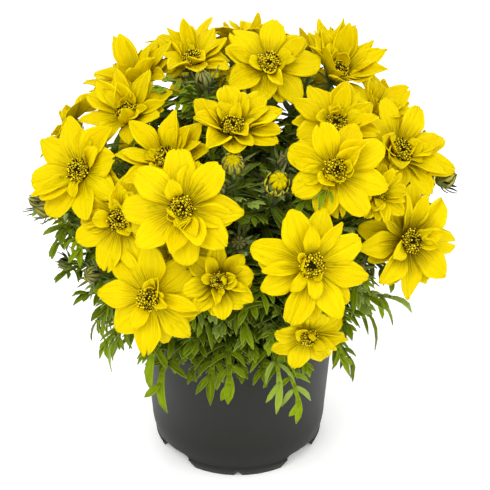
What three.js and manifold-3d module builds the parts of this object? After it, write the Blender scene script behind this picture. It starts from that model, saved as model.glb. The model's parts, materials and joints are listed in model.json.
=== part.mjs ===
// A potted bidens: a bushy plant with semi-double yellow blooms in a plain round grow pot.
// Millimetres, +Z up. The origin is on the ground under the middle of the pot, and -Y is the front.
// Angles are in degrees: a turn goes round from the front (0) to the right (90) and the back (180),
// and a rise is measured up from the level.

import * as THREE from 'three';
import Module from 'manifold-3d';
import { mergeVertices } from 'three/addons/utils/BufferGeometryUtils.js';

const wasm = await Module();
wasm.setup();

// Pot
const potSides = 24;
const baseRadius = 48.6;
const bellyRadius = 53.2;
const bellyHeight = 22;
const rimRadius = 57.9;
const potHeight = 86;
const rimBand = 6;
const rimProud = 0.7;
const wall = 1.4;
const floorUnder = 9.5;
const floorTop = 11.5;
const footWidth = 3.4;
const stepHeight = 6.2;
const archTurns = [50, 130, 230, 310];
const archHeight = 9.2;
const archHalfWide = 15.6;
const archHalfTop = 10.4;
const notchTurns = [0, 90, 180, 270];
const notchHeight = 3.6;
const notchHalfWide = 2.4;
const drainTurns = [45, 135, 225, 315];
const drainOut = 26;
const drainRadius = 4;

// Soil
const seam = 0.3;
const soilEdge = 77;
const soilCrown = 79.5;
const holeDepth = 9;
const holeRadius = 4;
const holeSides = 4;

// Stems
const stalkRadius = 1.2;
const trunkStations = [0, 0.35, 0.7, 1];
const trunkRadii = [1.7, 1.7, 1.5, 1.4];
const calyxRadius = 3.4;
const calyxHeight = 6.2;
const stemSides = 4;
const stalkSides = 3;
const outerFork = { out: 56, height: 120 };
const innerFork = { out: 24, height: 150 };
const forkStep = 0.11;
const budLook = 110;

// Blooms
const hubDrop = 3;
const eyeHeight = 4.4;
const hubRadius = 6;
const petalThick = 1.1;
const innerPetals = 2;
const bends = [0, 8, -8, 16, -16, 24, -24, 32, -32, 42, 52];
const petalShares = [1, 0.8, 0.6, 0.42];

// Leaves: where on the stem, how far aside, how steep, how much they droop and how long they are
const lowLeaf = { share: [0.5, 0.64], aside: [4, 11], pitch: [6, 22], droop: [70, 105], length: [52, 62] };
const highLeaf = { share: [0.8, 0.97], aside: [10, 30], pitch: [0, 30], droop: [20, 60], length: [44, 58] };
const innerLeaf = { share: [0.7, 0.97], aside: [20, 60], pitch: [30, 60], droop: [10, 50], length: [40, 52] };
const leafCuts = [0, 0.34, 0.5, 0.65, 0.8, 1];
const ribHalf = [0.4, 0.8, 0.9, 1.3, 2];
const ribHeight = [0.45, 1.2, 1.3, 1.3, 1.2];
const leafletReach = [0.33, 0.29, 0.22];
const leafletDrop = 0.12;
const leafBends = [0, 10, -10, 20, -20, 32, -32, 45, -45];
const leafSwings = [0, 9, -9, 18, -18];
const clearance = 0.35;

// Every leafy stem, with the blooms and buds that it carries.
// A bloom: middle of its eye (x, y, z), facing (turn, rise), width, petals, how far the petals stand up.
// A bud: its middle (x, y, z) and its size.
const stems = [
  {
    turn: -62, fork: outerFork, out: 34, leaves: 4,
    blooms: [[-82, -50, 201, -35, 35, 58, 8, 14], [-58, -24, 222, -28, 58, 52, 8, 28]],
    buds: [[-104, -38, 172, 5]],
  },
  {
    turn: -34, fork: outerFork, out: 36, leaves: 4,
    blooms: [[-59, -76, 186, -30, 32, 55, 8, 8], [-44, -100, 154, -15, 22, 58, 8, 4]],
    buds: [[-76, -74, 152, 5]],
  },
  {
    turn: -8, fork: outerFork, out: 36, leaves: 4,
    blooms: [[-27, -94, 202, -8, 34, 60, 8, 10], [-9, -104, 166, 0, 26, 38, 8, 12],
      [-31, -76, 170, -12, -12, 42, 7, 5]],
    buds: [[1, -90, 180, 4]],
  },
  {
    turn: 20, fork: outerFork, out: 36, leaves: 4,
    blooms: [[37, -104, 175, 15, 26, 60, 8, 8], [37, -95, 128, 14, -8, 42, 8, 10]],
    buds: [],
  },
  {
    turn: 50, fork: outerFork, out: 34, leaves: 4,
    blooms: [[91, -58, 164, 36, 20, 62, 8, 8], [73, -66, 196, 22, 38, 34, 8, 25]],
    buds: [[64, -76, 156, 4]],
  },
  {
    turn: 82, fork: outerFork, out: 34, leaves: 4,
    blooms: [[88, -22, 199, 42, 45, 61, 8, 20], [104, 20, 178, 84, 28, 46, 7, 8]],
    buds: [[114, -20, 182, 6]],
  },
  {
    turn: -20, fork: innerFork, out: 14, leaves: 1,
    blooms: [[-36, -64, 214, -8, 58, 54, 8, 30], [-2, -55, 228, 0, 64, 52, 8, 22]],
    buds: [[-2, -77, 218, 6], [-10, -80, 206, 5]],
  },
  {
    turn: 35, fork: innerFork, out: 14, leaves: 1,
    blooms: [[51, -42, 224, 20, 55, 50, 8, 24], [50, -72, 212, 8, 38, 55, 8, 12]],
    buds: [[20, -82, 209, 6], [24, -66, 214, 4]],
  },
  {
    turn: -95, fork: innerFork, out: 14, leaves: 1,
    blooms: [[-55, 8, 227, -60, 62, 61, 8, 34], [-24, 8, 240, -20, 72, 48, 8, 26]],
    buds: [[-18, -15, 238, 5]],
  },
  {
    turn: 95, fork: innerFork, out: 14, leaves: 1,
    blooms: [[17, 4, 239, 8, 52, 54, 8, 12], [55, 18, 228, 40, 60, 60, 8, 40],
      [76, 4, 210, 62, 50, 54, 8, 28]],
    buds: [],
  },
  {
    turn: 150, fork: innerFork, out: 14, leaves: 1,
    blooms: [[44, 48, 226, 150, 60, 48, 7, 16], [6, 50, 236, 175, 66, 50, 7, 18]],
    buds: [],
  },
  {
    turn: 215, fork: innerFork, out: 14, leaves: 1,
    blooms: [[-30, 42, 234, 210, 64, 50, 7, 16], [-60, 50, 216, 232, 48, 48, 7, 12]],
    buds: [],
  },
  {
    turn: 120, fork: outerFork, out: 34, leaves: 4,
    blooms: [[86, 62, 190, 122, 36, 50, 7, 8], [94, 46, 146, 112, 8, 48, 7, 6]],
    buds: [],
  },
  {
    turn: 158, fork: outerFork, out: 34, leaves: 4,
    blooms: [[-2, 84, 212, 178, 48, 50, 7, 12], [42, 98, 186, 155, 30, 50, 7, 8],
      [52, 92, 142, 150, 5, 46, 7, 8]],
    buds: [[16, 98, 164, 5]],
  },
  {
    turn: 188, fork: outerFork, out: 36, leaves: 4,
    blooms: [[-20, 100, 186, 190, 28, 50, 7, 8], [-10, 106, 142, 182, 4, 48, 7, 8]],
    buds: [],
  },
  {
    turn: 222, fork: outerFork, out: 34, leaves: 4,
    blooms: [[-72, 76, 190, 224, 32, 50, 7, 8], [-66, 82, 142, 218, 4, 46, 7, 8]],
    buds: [[-40, 94, 166, 5]],
  },
  {
    turn: 250, fork: outerFork, out: 34, leaves: 4,
    blooms: [[-98, 34, 186, 252, 30, 50, 7, 8], [-98, 36, 142, 250, 2, 46, 7, 8]],
    buds: [],
  },
  {
    turn: 272, fork: outerFork, out: 34, leaves: 5,
    blooms: [],
    buds: [[-113, -4, 160, 5], [-98, -16, 126, 4]],
  },
];

const rad = THREE.MathUtils.degToRad;

// Seeded draws from a Lehmer generator.
function drawsFrom(seed) {
  let state = seed * 7919 + 12345;
  const draw = (low, high) => {
    state = (state * 16807) % 2147483647;
    return low + ((high - low) * state) / 2147483647;
  };
  draw(0, 1);
  draw(0, 1);
  return draw;
}

function heading(turn, rise) {
  const level = Math.cos(rad(rise));
  return new THREE.Vector3(Math.sin(rad(turn)) * level, -Math.cos(rad(turn)) * level, Math.sin(rad(rise)));
}

function geometryOf(points, faces) {
  const geometry = new THREE.BufferGeometry();
  const flat = points.flatMap((p) => [p.x, p.y, p.z]);
  geometry.setAttribute('position', new THREE.Float32BufferAttribute(flat, 3));
  geometry.setIndex(faces.flat());
  return geometry;
}

function solidOf(source) {
  const geometry = source.clone();
  geometry.deleteAttribute('normal');
  geometry.deleteAttribute('uv');
  const merged = mergeVertices(geometry, 1e-4);
  return new wasm.Manifold(new wasm.Mesh({
    numProp: 3,
    vertProperties: Float32Array.from(merged.attributes.position.array),
    triVerts: Uint32Array.from(merged.index.array),
  }));
}

function geometryFrom(solid) {
  const mesh = solid.getMesh();
  const geometry = new THREE.BufferGeometry();
  geometry.setAttribute('position', new THREE.Float32BufferAttribute(mesh.vertProperties, 3));
  geometry.setIndex(Array.from(mesh.triVerts));
  return geometry;
}

function placed(geometry, turn) {
  return geometry.clone().rotateZ(rad(turn));
}

// How wide the pot is at a height: rounded in towards the foot, and straight from the belly to the rim.
function sideAt(height) {
  if (height < bellyHeight) {
    return baseRadius + (bellyRadius - baseRadius) * Math.sin(rad((90 * height) / bellyHeight));
  }
  return bellyRadius + ((rimRadius - bellyRadius) * (height - bellyHeight)) / (potHeight - bellyHeight);
}

function innerAt(height) {
  const low = sideAt(floorTop) - wall - 0.5;
  return low + ((rimRadius - wall - low) * (height - floorTop)) / (potHeight - floorTop);
}

// The pot: a turned shell with a foot ring, cut by four arches and four small notches.
function makePot() {
  const bandStart = potHeight - rimBand;
  const side = [stepHeight + 1, 12, 17, bellyHeight, bandStart].map((z) => [sideAt(z) - rimProud, z]);
  const outline = [
    [0, floorUnder],
    [baseRadius - footWidth, floorUnder],
    [baseRadius - footWidth, 0],
    [baseRadius - 0.4, 0],
    [sideAt(stepHeight), stepHeight],
    ...side,
    [rimRadius, bandStart + 0.8],
    [rimRadius, potHeight],
    [rimRadius - wall, potHeight],
    [innerAt(floorTop), floorTop],
    [0, floorTop],
  ];
  const shell = new THREE.LatheGeometry(outline.map(([r, z]) => new THREE.Vector2(r, z)), potSides);
  let pot = solidOf(shell.rotateX(Math.PI / 2));

  const arch = prism([
    [-archHalfWide, -1], [archHalfWide, -1], [archHalfTop, archHeight], [-archHalfTop, archHeight],
  ]);
  const notch = prism([[-notchHalfWide - 1, -1], [notchHalfWide + 1, -1], [0, notchHeight]]);
  const drain = new THREE.CylinderGeometry(drainRadius, drainRadius, 6, 8).rotateX(Math.PI / 2);
  drain.translate(0, -drainOut, (floorUnder + floorTop) / 2);
  archTurns.forEach((turn) => { pot = pot.subtract(solidOf(placed(arch, turn))); });
  notchTurns.forEach((turn) => { pot = pot.subtract(solidOf(placed(notch, turn))); });
  drainTurns.forEach((turn) => { pot = pot.subtract(solidOf(placed(drain, turn))); });
  return geometryFrom(pot);
}

// A bar across the foot ring at the front, with its outline seen from the front.
function prism(outline) {
  const shape = new THREE.Shape(outline.map(([x, z]) => new THREE.Vector2(x, z)));
  const depth = 22;
  const bar = new THREE.ExtrudeGeometry(shape, { depth, bevelEnabled: false, steps: 1 });
  return bar.rotateX(Math.PI / 2).translate(0, -baseRadius + 10, 0);
}

// The soil fills the pot, with a plain hole for each stem.
function makeSoil() {
  const soilAt = (height) => innerAt(height) - seam - 0.1;
  const outline = [
    [0, floorTop + seam],
    [soilAt(floorTop + seam), floorTop + seam],
    [soilAt(soilEdge), soilEdge],
    [soilAt(soilEdge) * 0.6, soilCrown - 0.6],
    [0, soilCrown],
  ];
  const plug = new THREE.LatheGeometry(outline.map(([r, z]) => new THREE.Vector2(r, z)), potSides);
  let soil = solidOf(plug.rotateX(Math.PI / 2));
  stems.forEach((stem) => {
    const hole = new THREE.CylinderGeometry(holeRadius, holeRadius, 2 * holeDepth, holeSides);
    hole.rotateX(Math.PI / 2).translate(0, -stem.out, soilCrown);
    soil = soil.subtract(solidOf(placed(hole, stem.turn)));
  });
  return geometryFrom(soil);
}

// Wood is swept from rings of points along a path, thick or thin as the radii say.
// Bracts can stand out from the faces between one ring and the next.
function sweep(path, radii, sides, bracts = { ring: -1, reach: 0 }) {
  const points = [];
  const faces = [];
  const side = new THREE.Vector3();
  path.forEach((centre, i) => {
    const ahead = path[Math.min(i + 1, path.length - 1)];
    const behind = path[Math.max(i - 1, 0)];
    const along = ahead.clone().sub(behind).normalize();
    if (i === 0) {
      side.set(along.z, 0, -along.x).normalize();
    }
    side.addScaledVector(along, -side.dot(along)).normalize();
    const other = along.clone().cross(side);
    for (let k = 0; k < sides; k += 1) {
      const angle = (2 * Math.PI * k) / sides;
      const point = centre.clone().addScaledVector(side, radii[i] * Math.cos(angle));
      points.push(point.addScaledVector(other, radii[i] * Math.sin(angle)));
    }
  });
  const last = (path.length - 1) * sides;
  for (let i = 0; i < last; i += sides) {
    for (let k = 0; k < sides; k += 1) {
      const next = (k + 1) % sides;
      const corners = [i + k, i + next, i + sides + next, i + sides + k];
      if (i === bracts.ring * sides) {
        const middle = corners.reduce((sum, c) => sum.add(points[c]), new THREE.Vector3()).divideScalar(4);
        const outward = middle.clone().sub(path[bracts.ring]).normalize();
        const tip = points.push(middle.addScaledVector(outward, bracts.reach)) - 1;
        corners.forEach((corner, c) => faces.push([corner, corners[(c + 1) % 4], tip]));
      } else {
        faces.push([corners[0], corners[1], corners[2]], [corners[0], corners[2], corners[3]]);
      }
    }
  }
  for (let k = 1; k < sides - 1; k += 1) {
    faces.push([0, k + 1, k], [last, last + k, last + k + 1]);
  }
  return geometryOf(points, faces);
}

function stemPath(stem) {
  const level = heading(stem.turn, 0);
  const up = new THREE.Vector3(0, 0, 1);
  const place = (out, height) => level.clone().multiplyScalar(out).addScaledVector(up, height);
  const foot = place(stem.out, soilCrown - holeDepth + seam);
  const lift = place(stem.out, soilCrown + 14);
  const fork = place(stem.fork.out, stem.fork.height);
  return { foot, lift, fork };
}

function stemPoint(path, t) {
  const point = path.foot.clone().multiplyScalar((1 - t) * (1 - t));
  return point.addScaledVector(path.lift, 2 * t * (1 - t)).addScaledVector(path.fork, t * t);
}

// Stalks leave the stem one below the other, and come up behind what they carry, along its axis.
function stalkPoint(path, order, end, axis, t) {
  const start = stemPoint(path, 1 - forkStep * order);
  const reach = end.distanceTo(start);
  const leaving = path.fork.clone().sub(path.lift).normalize();
  const first = start.clone().addScaledVector(leaving, reach * 0.1);
  const second = end.clone().addScaledVector(axis, -reach * 0.35);
  const point = start.clone().multiplyScalar((1 - t) ** 3);
  point.addScaledVector(first, 3 * t * (1 - t) ** 2);
  point.addScaledVector(second, 3 * t * t * (1 - t));
  return point.addScaledVector(end, t ** 3);
}

// What a bloom or a bud stands on: the route of its stalk, then rings up to its top, with their radii.
function bloomStalk(path, order, bloom) {
  const cupTop = bloom.eye.clone().addScaledVector(bloom.axis, -hubDrop - seam);
  const cupFoot = cupTop.clone().addScaledVector(bloom.axis, -calyxHeight);
  const route = [0, 0.3, 0.62].map((t) => stalkPoint(path, order, cupFoot, bloom.axis, t));
  route.push(cupFoot);
  return { route, rings: [...route, cupTop], radii: [...route.map(() => stalkRadius), calyxRadius] };
}

// Narrow bracts stand round the foot of a bud like a star.
function budStalk(path, order, bud) {
  const foot = bud.middle.clone().addScaledVector(bud.axis, -bud.size * 1.2);
  const route = [0, 0.45].map((t) => stalkPoint(path, order, foot, bud.axis, t));
  route.push(foot);
  const lift = (share) => bud.middle.clone().addScaledVector(bud.axis, bud.size * share);
  return {
    route,
    rings: [...route, lift(-0.8), lift(0.1), lift(0.9)],
    radii: [...route.map(() => stalkRadius), bud.size * 0.8, bud.size, bud.size * 0.42],
    bracts: { ring: route.length - 1, reach: bud.size * 1.5 },
  };
}

// The first stalk carries the stem on, and the others leave the stem further down.
function sweepStalk(trunk, { rings, radii, bracts }, order) {
  if (order > 0) {
    return sweep(rings, radii, stalkSides, bracts);
  }
  const before = trunk.length - 1;
  const shifted = bracts && { ...bracts, ring: bracts.ring + before };
  return sweep([...trunk, ...rings.slice(1)], [...trunkRadii, ...radii.slice(1)], stemSides, shifted);
}

// Two directions across a facing: level to the right as seen from the front, and the one over it.
function facingFrame(axis) {
  const across = new THREE.Vector3(0, 0, 1).cross(axis).normalize();
  const over = axis.clone().cross(across);
  return { across, over };
}

// Where a petal point lies: out from the axis, up along it, and sideways.
function petalPlace(bloom, angle, out, up, side) {
  const c = Math.cos(rad(angle));
  const s = Math.sin(rad(angle));
  const point = bloom.eye.clone().addScaledVector(bloom.axis, up);
  point.addScaledVector(bloom.across, out * c - side * s);
  return point.addScaledVector(bloom.over, out * s + side * c);
}

// The cross rows of a petal: left edge, top, right edge and underside, then its tip points.
function petalRows(bloom, petal, bend, share, grow) {
  const rows = [];
  const beforeTip = petal.rows[petal.rows.length - 2][0];
  let out = petal.rootOut;
  let up = petal.rootUp;
  let before = 0;
  petal.rows.forEach(([along, wide, dip]) => {
    const length = (petal.length * share + grow) * (along - before);
    const pitch = rad(petal.pitch + bend + petal.curl * ((along + before) / 2));
    out += length * Math.cos(pitch);
    up += length * Math.sin(pitch);
    before = along;
    const half = (petal.width * wide * (0.55 + 0.45 * share)) / 2 + grow;
    const sway = petal.sway * along * along;
    const roll = rad(petal.twist * along);
    const lean = rad(petal.pitch + bend + petal.curl * along);
    const at = (across, above) => {
      const side = across * Math.cos(roll) - above * Math.sin(roll) + sway;
      const rise = across * Math.sin(roll) + above * Math.cos(roll);
      return petalPlace(bloom, petal.angle, out - rise * Math.sin(lean), up + rise * Math.cos(lean), side);
    };
    if (along < 1) {
      const thick = petalThick / 2 + grow;
      rows.push([at(-half, 0), at(0, thick - dip), at(half, 0), at(0, -thick - dip)]);
    } else if (petal.notch > 0) {
      const inset = petal.notch / (petal.length * share);
      const back = rows[rows.length - 1][1].clone().add(rows[rows.length - 1][3]).multiplyScalar(0.5);
      const middle = at(0, -dip).lerp(back, Math.min(inset / (along - beforeTip), 0.6));
      rows.push([at(-half, 0), middle, at(half, 0)]);
    } else {
      rows.push([at(0, 0)]);
    }
  });
  return rows;
}

// A petal's skin from its root loop outwards. Both faces are split into triangles alike.
function petalFaces(loop, rows, base) {
  const faces = [];
  let [l, t, r, b] = loop;
  let next = base;
  rows.forEach((row) => {
    if (row.length === 4) {
      const [l2, t2, r2, b2] = [next, next + 1, next + 2, next + 3];
      faces.push([l, l2, t2], [l, t2, t], [t, t2, r2], [t, r2, r]);
      faces.push([l, b2, l2], [l, b, b2], [b, r2, b2], [b, r, r2]);
      [l, t, r, b] = [l2, t2, r2, b2];
    } else if (row.length === 3) {
      const [l2, m2, r2] = [next, next + 1, next + 2];
      faces.push([l, l2, t], [t, l2, m2], [t, m2, r2], [t, r2, r]);
      faces.push([l, b, l2], [b, m2, l2], [b, r2, m2], [b, r, r2]);
    } else {
      faces.push([l, next, t], [t, next, r], [l, b, next], [b, r, next]);
    }
    next += row.length;
  });
  return faces;
}

function petalSolid(bloom, petal, bend, share, grow) {
  const rows = petalRows(bloom, petal, bend, share, grow);
  const points = [...petal.loop, ...rows.flat()];
  const faces = petalFaces([0, 1, 2, 3], rows, 4);
  faces.push([0, 1, 2], [0, 2, 3]);
  return solidOf(geometryOf(points, faces));
}

// The hub of a bloom: a ring with a place for each petal, the eye above it and a blunt cone below.
function hubPoints(bloom) {
  const size = Math.min(bloom.width / 50, 1.1);
  const ring = hubRadius * size;
  const between = bloom.angles.map((angle, k) => {
    const next = bloom.angles[(k + 1) % bloom.angles.length] + (k + 1 === bloom.angles.length ? 360 : 0);
    return (angle + next) / 2;
  });
  const at = (angle, out, up) => petalPlace(bloom, angle, out, up, 0);
  return {
    tops: bloom.angles.map((angle) => at(angle, ring * 0.95, 0.9)),
    unders: bloom.angles.map((angle) => at(angle, ring * 0.95, -0.9)),
    gaps: between.map((angle) => at(angle, ring, 0)),
    crown: between.map((angle) => at(angle, ring * 0.72, eyeHeight * 0.66 * size)),
    apex: at(0, 0, eyeHeight * size),
    foot: at(0, 0, -hubDrop),
    between,
    ring,
  };
}

function makeBloom([x, y, z, turn, rise, width, count, open], index) {
  const draw = drawsFrom(index + 1);
  const axis = heading(turn, rise);
  const bloom = { index, width, axis, eye: new THREE.Vector3(x, y, z), ...facingFrame(axis) };
  const spin = draw(0, 360);
  bloom.angles = Array.from({ length: count }, (_, k) => spin + (360 / count) * k + draw(-4, 4));
  const hub = hubPoints(bloom);
  bloom.hub = hub;
  const reach = width / 2 - hub.ring;
  bloom.petals = bloom.angles.map((angle, k) => ({
    angle,
    loop: [hub.gaps[(k + count - 1) % count], hub.tops[k], hub.gaps[k], hub.unders[k]],
    rootOut: hub.ring * 0.97,
    rootUp: 0,
    length: (reach / Math.cos(rad(open * 0.6))) * draw(0.92, 1.1),
    width: Math.min(width * draw(0.25, 0.29), 14.5) * (8 / count) ** 0.5,
    pitch: open + (k % 2 === 0 ? 5 : -5) + draw(-5, 5),
    curl: draw(-26, 6),
    sway: draw(-2, 2),
    twist: draw(-14, 14),
    notch: draw(1, 2.4),
    rows: [[0.62, 1, 1.1], [1, 0.54, 0.5]],
  }));
  const first = Math.floor(draw(0, count));
  const taken = Array.from({ length: innerPetals }, (_, i) => (
    (first + Math.floor((i * count) / innerPetals)) % count
  ));
  bloom.inner = taken.map((k) => ({
    gap: k,
    angle: hub.between[k],
    loop: [hub.tops[k], hub.crown[k], hub.gaps[k], hub.tops[(k + 1) % count]],
    rootOut: hub.ring * 0.9,
    rootUp: 1.2,
    length: reach * draw(0.45, 0.72),
    width: Math.min(width * draw(0.13, 0.19), 9),
    pitch: open * 0.5 + draw(42, 62),
    curl: draw(-70, -10),
    sway: draw(-1.5, 1.5),
    twist: draw(-10, 10),
    notch: 0,
    rows: [[0.58, 1, 0.7], [1, 0.3, 0]],
  }));
  bloom.inner.forEach((petal) => {
    petal.loop = [petal.loop[0], petal.loop[1], petal.loop[3], petal.loop[2]];
  });
  return bloom;
}

function hubGeometry(bloom) {
  return assembleBloom({ ...bloom, petals: [], inner: [] });
}

// One closed skin: the hub, with each petal grown out of its own place in the ring.
function assembleBloom(bloom) {
  const { tops, unders, gaps, crown, apex, foot } = bloom.hub;
  const n = tops.length;
  const points = [...tops, ...unders, ...gaps, ...crown, apex, foot];
  const [top, under, gap, crest] = [0, n, 2 * n, 3 * n];
  const peak = 4 * n;
  const heel = 4 * n + 1;
  const faces = [];
  const innerAt = new Map(bloom.inner.map((petal) => [petal.gap, petal]));
  for (let k = 0; k < n; k += 1) {
    const before = (k + n - 1) % n;
    const after = (k + 1) % n;
    faces.push([peak, crest + before, crest + k], [crest + before, top + k, crest + k]);
    faces.push([heel, under + k, gap + before], [heel, gap + k, under + k]);
    const loop = [gap + before, top + k, gap + k, under + k];
    if (bloom.petals[k]) {
      const { rows } = bloom.petals[k];
      faces.push(...petalFaces(loop, rows, points.length));
      points.push(...rows.flat());
    } else {
      faces.push([loop[0], loop[2], loop[1]], [loop[0], loop[3], loop[2]]);
    }
    if (innerAt.has(k)) {
      const { rows } = innerAt.get(k);
      faces.push(...petalFaces([top + k, crest + k, top + after, gap + k], rows, points.length));
      points.push(...rows.flat());
    } else {
      faces.push([crest + k, top + k, gap + k], [crest + k, gap + k, top + after]);
    }
  }
  return geometryOf(points, faces);
}

// A leaf: a slim rib, flat below, with three pairs of pointed leaflets and a point at its end.
function leafStations(leaf, bend, swing) {
  const level = heading(leaf.turn + swing, 0);
  const side = new THREE.Vector3(0, 0, 1).cross(level).normalize();
  const centre = leaf.root.clone();
  const stations = [];
  let before = 0;
  leafCuts.forEach((along) => {
    const rise = (share) => leaf.pitch + bend - leaf.droop * share;
    const onward = heading(leaf.turn + swing, rise((along + before) / 2));
    centre.addScaledVector(onward, leaf.length * (along - before));
    const dir = heading(leaf.turn + swing, rise(along));
    stations.push({ centre: centre.clone(), dir, up: dir.clone().cross(side) });
    before = along;
  });
  return { stations, side };
}

function leafGeometry(leaf, bend, swing, grow) {
  const { stations, side } = leafStations(leaf, bend, swing);
  const end = stations.pop();
  const points = stations.flatMap(({ centre, up }, i) => [
    centre.clone().addScaledVector(side, -ribHalf[i] - grow).addScaledVector(up, -grow),
    centre.clone().addScaledVector(up, ribHeight[i] + grow),
    centre.clone().addScaledVector(side, ribHalf[i] + grow).addScaledVector(up, -grow),
  ]);
  const faces = [[0, 1, 2]];
  for (let i = 0; i < stations.length - 1; i += 1) {
    const [l, t, r, l2, t2, r2] = [0, 1, 2, 3, 4, 5].map((k) => 3 * i + k);
    faces.push([l, r, r2], [l, r2, l2]);
    if (i === 0) {
      faces.push([l, l2, t2], [l, t2, t], [t, t2, r2], [t, r2, r]);
      continue;
    }
    const { dir, up } = stations[i];
    const length = leaf.length * leafletReach[i - 1] + grow;
    [[-1, [l, l2, t2, t]], [1, [t, t2, r2, r]]].forEach(([way, loop]) => {
      const middle = stations[i].centre.clone().lerp(stations[i + 1].centre, 0.5);
      const tip = middle.addScaledVector(dir, length * Math.cos(rad(leaf.spread)));
      tip.addScaledVector(side, way * length * Math.sin(rad(leaf.spread)));
      tip.addScaledVector(up, -leafletDrop * length);
      const last = points.push(tip) - 1;
      loop.forEach((corner, k) => faces.push([corner, loop[(k + 1) % 4], last]));
    });
  }
  const [l, t, r] = [3, 2, 1].map((k) => 3 * stations.length - k);
  const last = points.push(end.centre.addScaledVector(end.dir, grow)) - 1;
  faces.push([l, last, t], [t, last, r], [l, r, last]);
  return geometryOf(points, faces);
}

// A place on a route of points, from 0 at its first to 1 at its last.
function placeOn(route, share) {
  const reach = share * (route.length - 1);
  const from = Math.min(Math.floor(reach), route.length - 2);
  return route[from].clone().lerp(route[from + 1], reach - from);
}

// Leaves of a stem: a low pair that hangs over the rim, others that reach out, and some on each stalk.
function leavesOf({ stem, trunk, stalks, index }) {
  const draw = drawsFrom(500 + index);
  const outer = stem.fork === outerFork;
  const leaves = [];
  const grow = (host, route, share, turn, pitch, droop, length) => leaves.push({
    host, root: placeOn(route, share), turn, pitch, droop, length, spread: draw(40, 56),
  });
  for (let i = 0; i < stem.leaves; i += 1) {
    const habit = outer && i < 2 ? lowLeaf : outer ? highLeaf : innerLeaf;
    const way = i % 2 === 0 ? -1 : 1;
    const share = draw(...habit.share);
    const turn = stem.turn + way * draw(...habit.aside);
    grow(0, trunk, share, turn, draw(...habit.pitch), draw(...habit.droop), draw(...habit.length));
  }
  stalks.forEach(({ route }, order) => {
    const end = route[route.length - 1];
    const turn = THREE.MathUtils.radToDeg(Math.atan2(end.x, -end.y));
    const leavesHere = order < stem.blooms.length ? 2 : 1;
    for (let i = 0; i < leavesHere; i += 1) {
      const way = (order + i) % 2 === 0 ? -1 : 1;
      const share = 0.42 + 0.3 * i + draw(-0.08, 0.08);
      grow(order, route, share, turn + way * draw(30, 75), draw(5, 50), draw(0, 50), draw(34, 46));
    }
  });
  return leaves;
}

// Solids that are already in their place, each with the piece that it belongs to.
const standing = [];

function boxesMeet(a, b) {
  return [0, 1, 2].every((i) => a.min[i] <= b.max[i] && b.min[i] <= a.max[i]);
}

function settle(solid, owner, sibling = '') {
  standing.push({ solid, owner, sibling, box: solid.boundingBox() });
}

function isClear(grown, exact, owner, skipSibling) {
  const box = grown.boundingBox();
  return standing.every((other) => {
    if (!boxesMeet(box, other.box)) {
      return true;
    }
    if (other.owner === owner) {
      return other.sibling === skipSibling || exact.intersect(other.solid).volume() < 1e-3;
    }
    return grown.intersect(other.solid).volume() < 1e-6;
  });
}

// A petal that would cross something is bent up or down, and shortened where bending isn't enough.
function bendPetal(bloom, petal, owner) {
  for (const share of petalShares) {
    for (const bend of bends) {
      const exact = petalSolid(bloom, petal, bend, share, 0);
      const grown = petalSolid(bloom, petal, bend, share, clearance);
      if (isClear(grown, exact, owner, 'hub')) {
        settle(exact, owner);
        return petalRows(bloom, petal, bend, share, 0);
      }
    }
  }
  throw new Error(`no clear place for a petal of ${owner}`);
}

function bendLeaf(leaf, owner) {
  for (const swing of leafSwings) {
    for (const bend of leafBends) {
      const exact = solidOf(leafGeometry(leaf, bend, swing, 0));
      const grown = solidOf(leafGeometry(leaf, bend, swing, clearance));
      if (isClear(grown, exact, owner, `wood ${leaf.host}`)) {
        settle(exact, owner);
        return exact;
      }
    }
  }
  return null;
}

const pot = makePot();
const soil = makeSoil();
settle(solidOf(pot), 'pot');
settle(solidOf(soil), 'soil');

const blooms = [];
const shoots = stems.map((stem, index) => {
  const owner = `leafy_stem_${String(index + 1).padStart(2, '0')}`;
  const path = stemPath(stem);
  const trunk = trunkStations.map((t) => stemPoint(path, t));
  const stalks = stem.blooms.map((entry, order) => {
    const bloom = makeBloom(entry, blooms.length);
    blooms.push(bloom);
    return bloomStalk(path, order, bloom);
  });
  stem.buds.forEach(([x, y, z, size]) => {
    const middle = new THREE.Vector3(x, y, z);
    const axis = middle.clone().sub(new THREE.Vector3(0, 0, budLook)).normalize();
    stalks.push(budStalk(path, stalks.length, { middle, axis, size }));
  });
  const solids = stalks.map((stalk, order) => solidOf(sweepStalk(trunk, stalk, order)));
  solids.forEach((solid, order) => settle(solid, owner, `wood ${order}`));
  return { owner, solids, stem, index, trunk, stalks };
});

blooms.forEach((bloom) => {
  bloom.owner = `bloom_${String(bloom.index + 1).padStart(2, '0')}`;
  settle(solidOf(hubGeometry(bloom)), bloom.owner, 'hub');
});
blooms.forEach((bloom) => {
  bloom.petals.forEach((petal) => { petal.rows = bendPetal(bloom, petal, bloom.owner); });
});
blooms.forEach((bloom) => {
  bloom.inner.forEach((petal) => { petal.rows = bendPetal(bloom, petal, bloom.owner); });
});
shoots.forEach((shoot) => {
  leavesOf(shoot).forEach((leaf) => {
    const solid = bendLeaf(leaf, shoot.owner);
    if (solid) {
      shoot.solids.push(solid);
    }
  });
});

const potPlastic = new THREE.MeshStandardMaterial({ color: 0x3b3b38, roughness: 0.55, metalness: 0 });
const peat = new THREE.MeshStandardMaterial({ color: 0x33261c, roughness: 1, metalness: 0 });
const petalYellow = new THREE.MeshStandardMaterial({ color: 0xffdf05, roughness: 0.6, metalness: 0 });
const leafGreen = new THREE.MeshStandardMaterial({ color: 0x5b8423, roughness: 0.65, metalness: 0 });

function named(name, geometry, material) {
  const mesh = new THREE.Mesh(geometry, material);
  mesh.name = name;
  return mesh;
}

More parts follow.
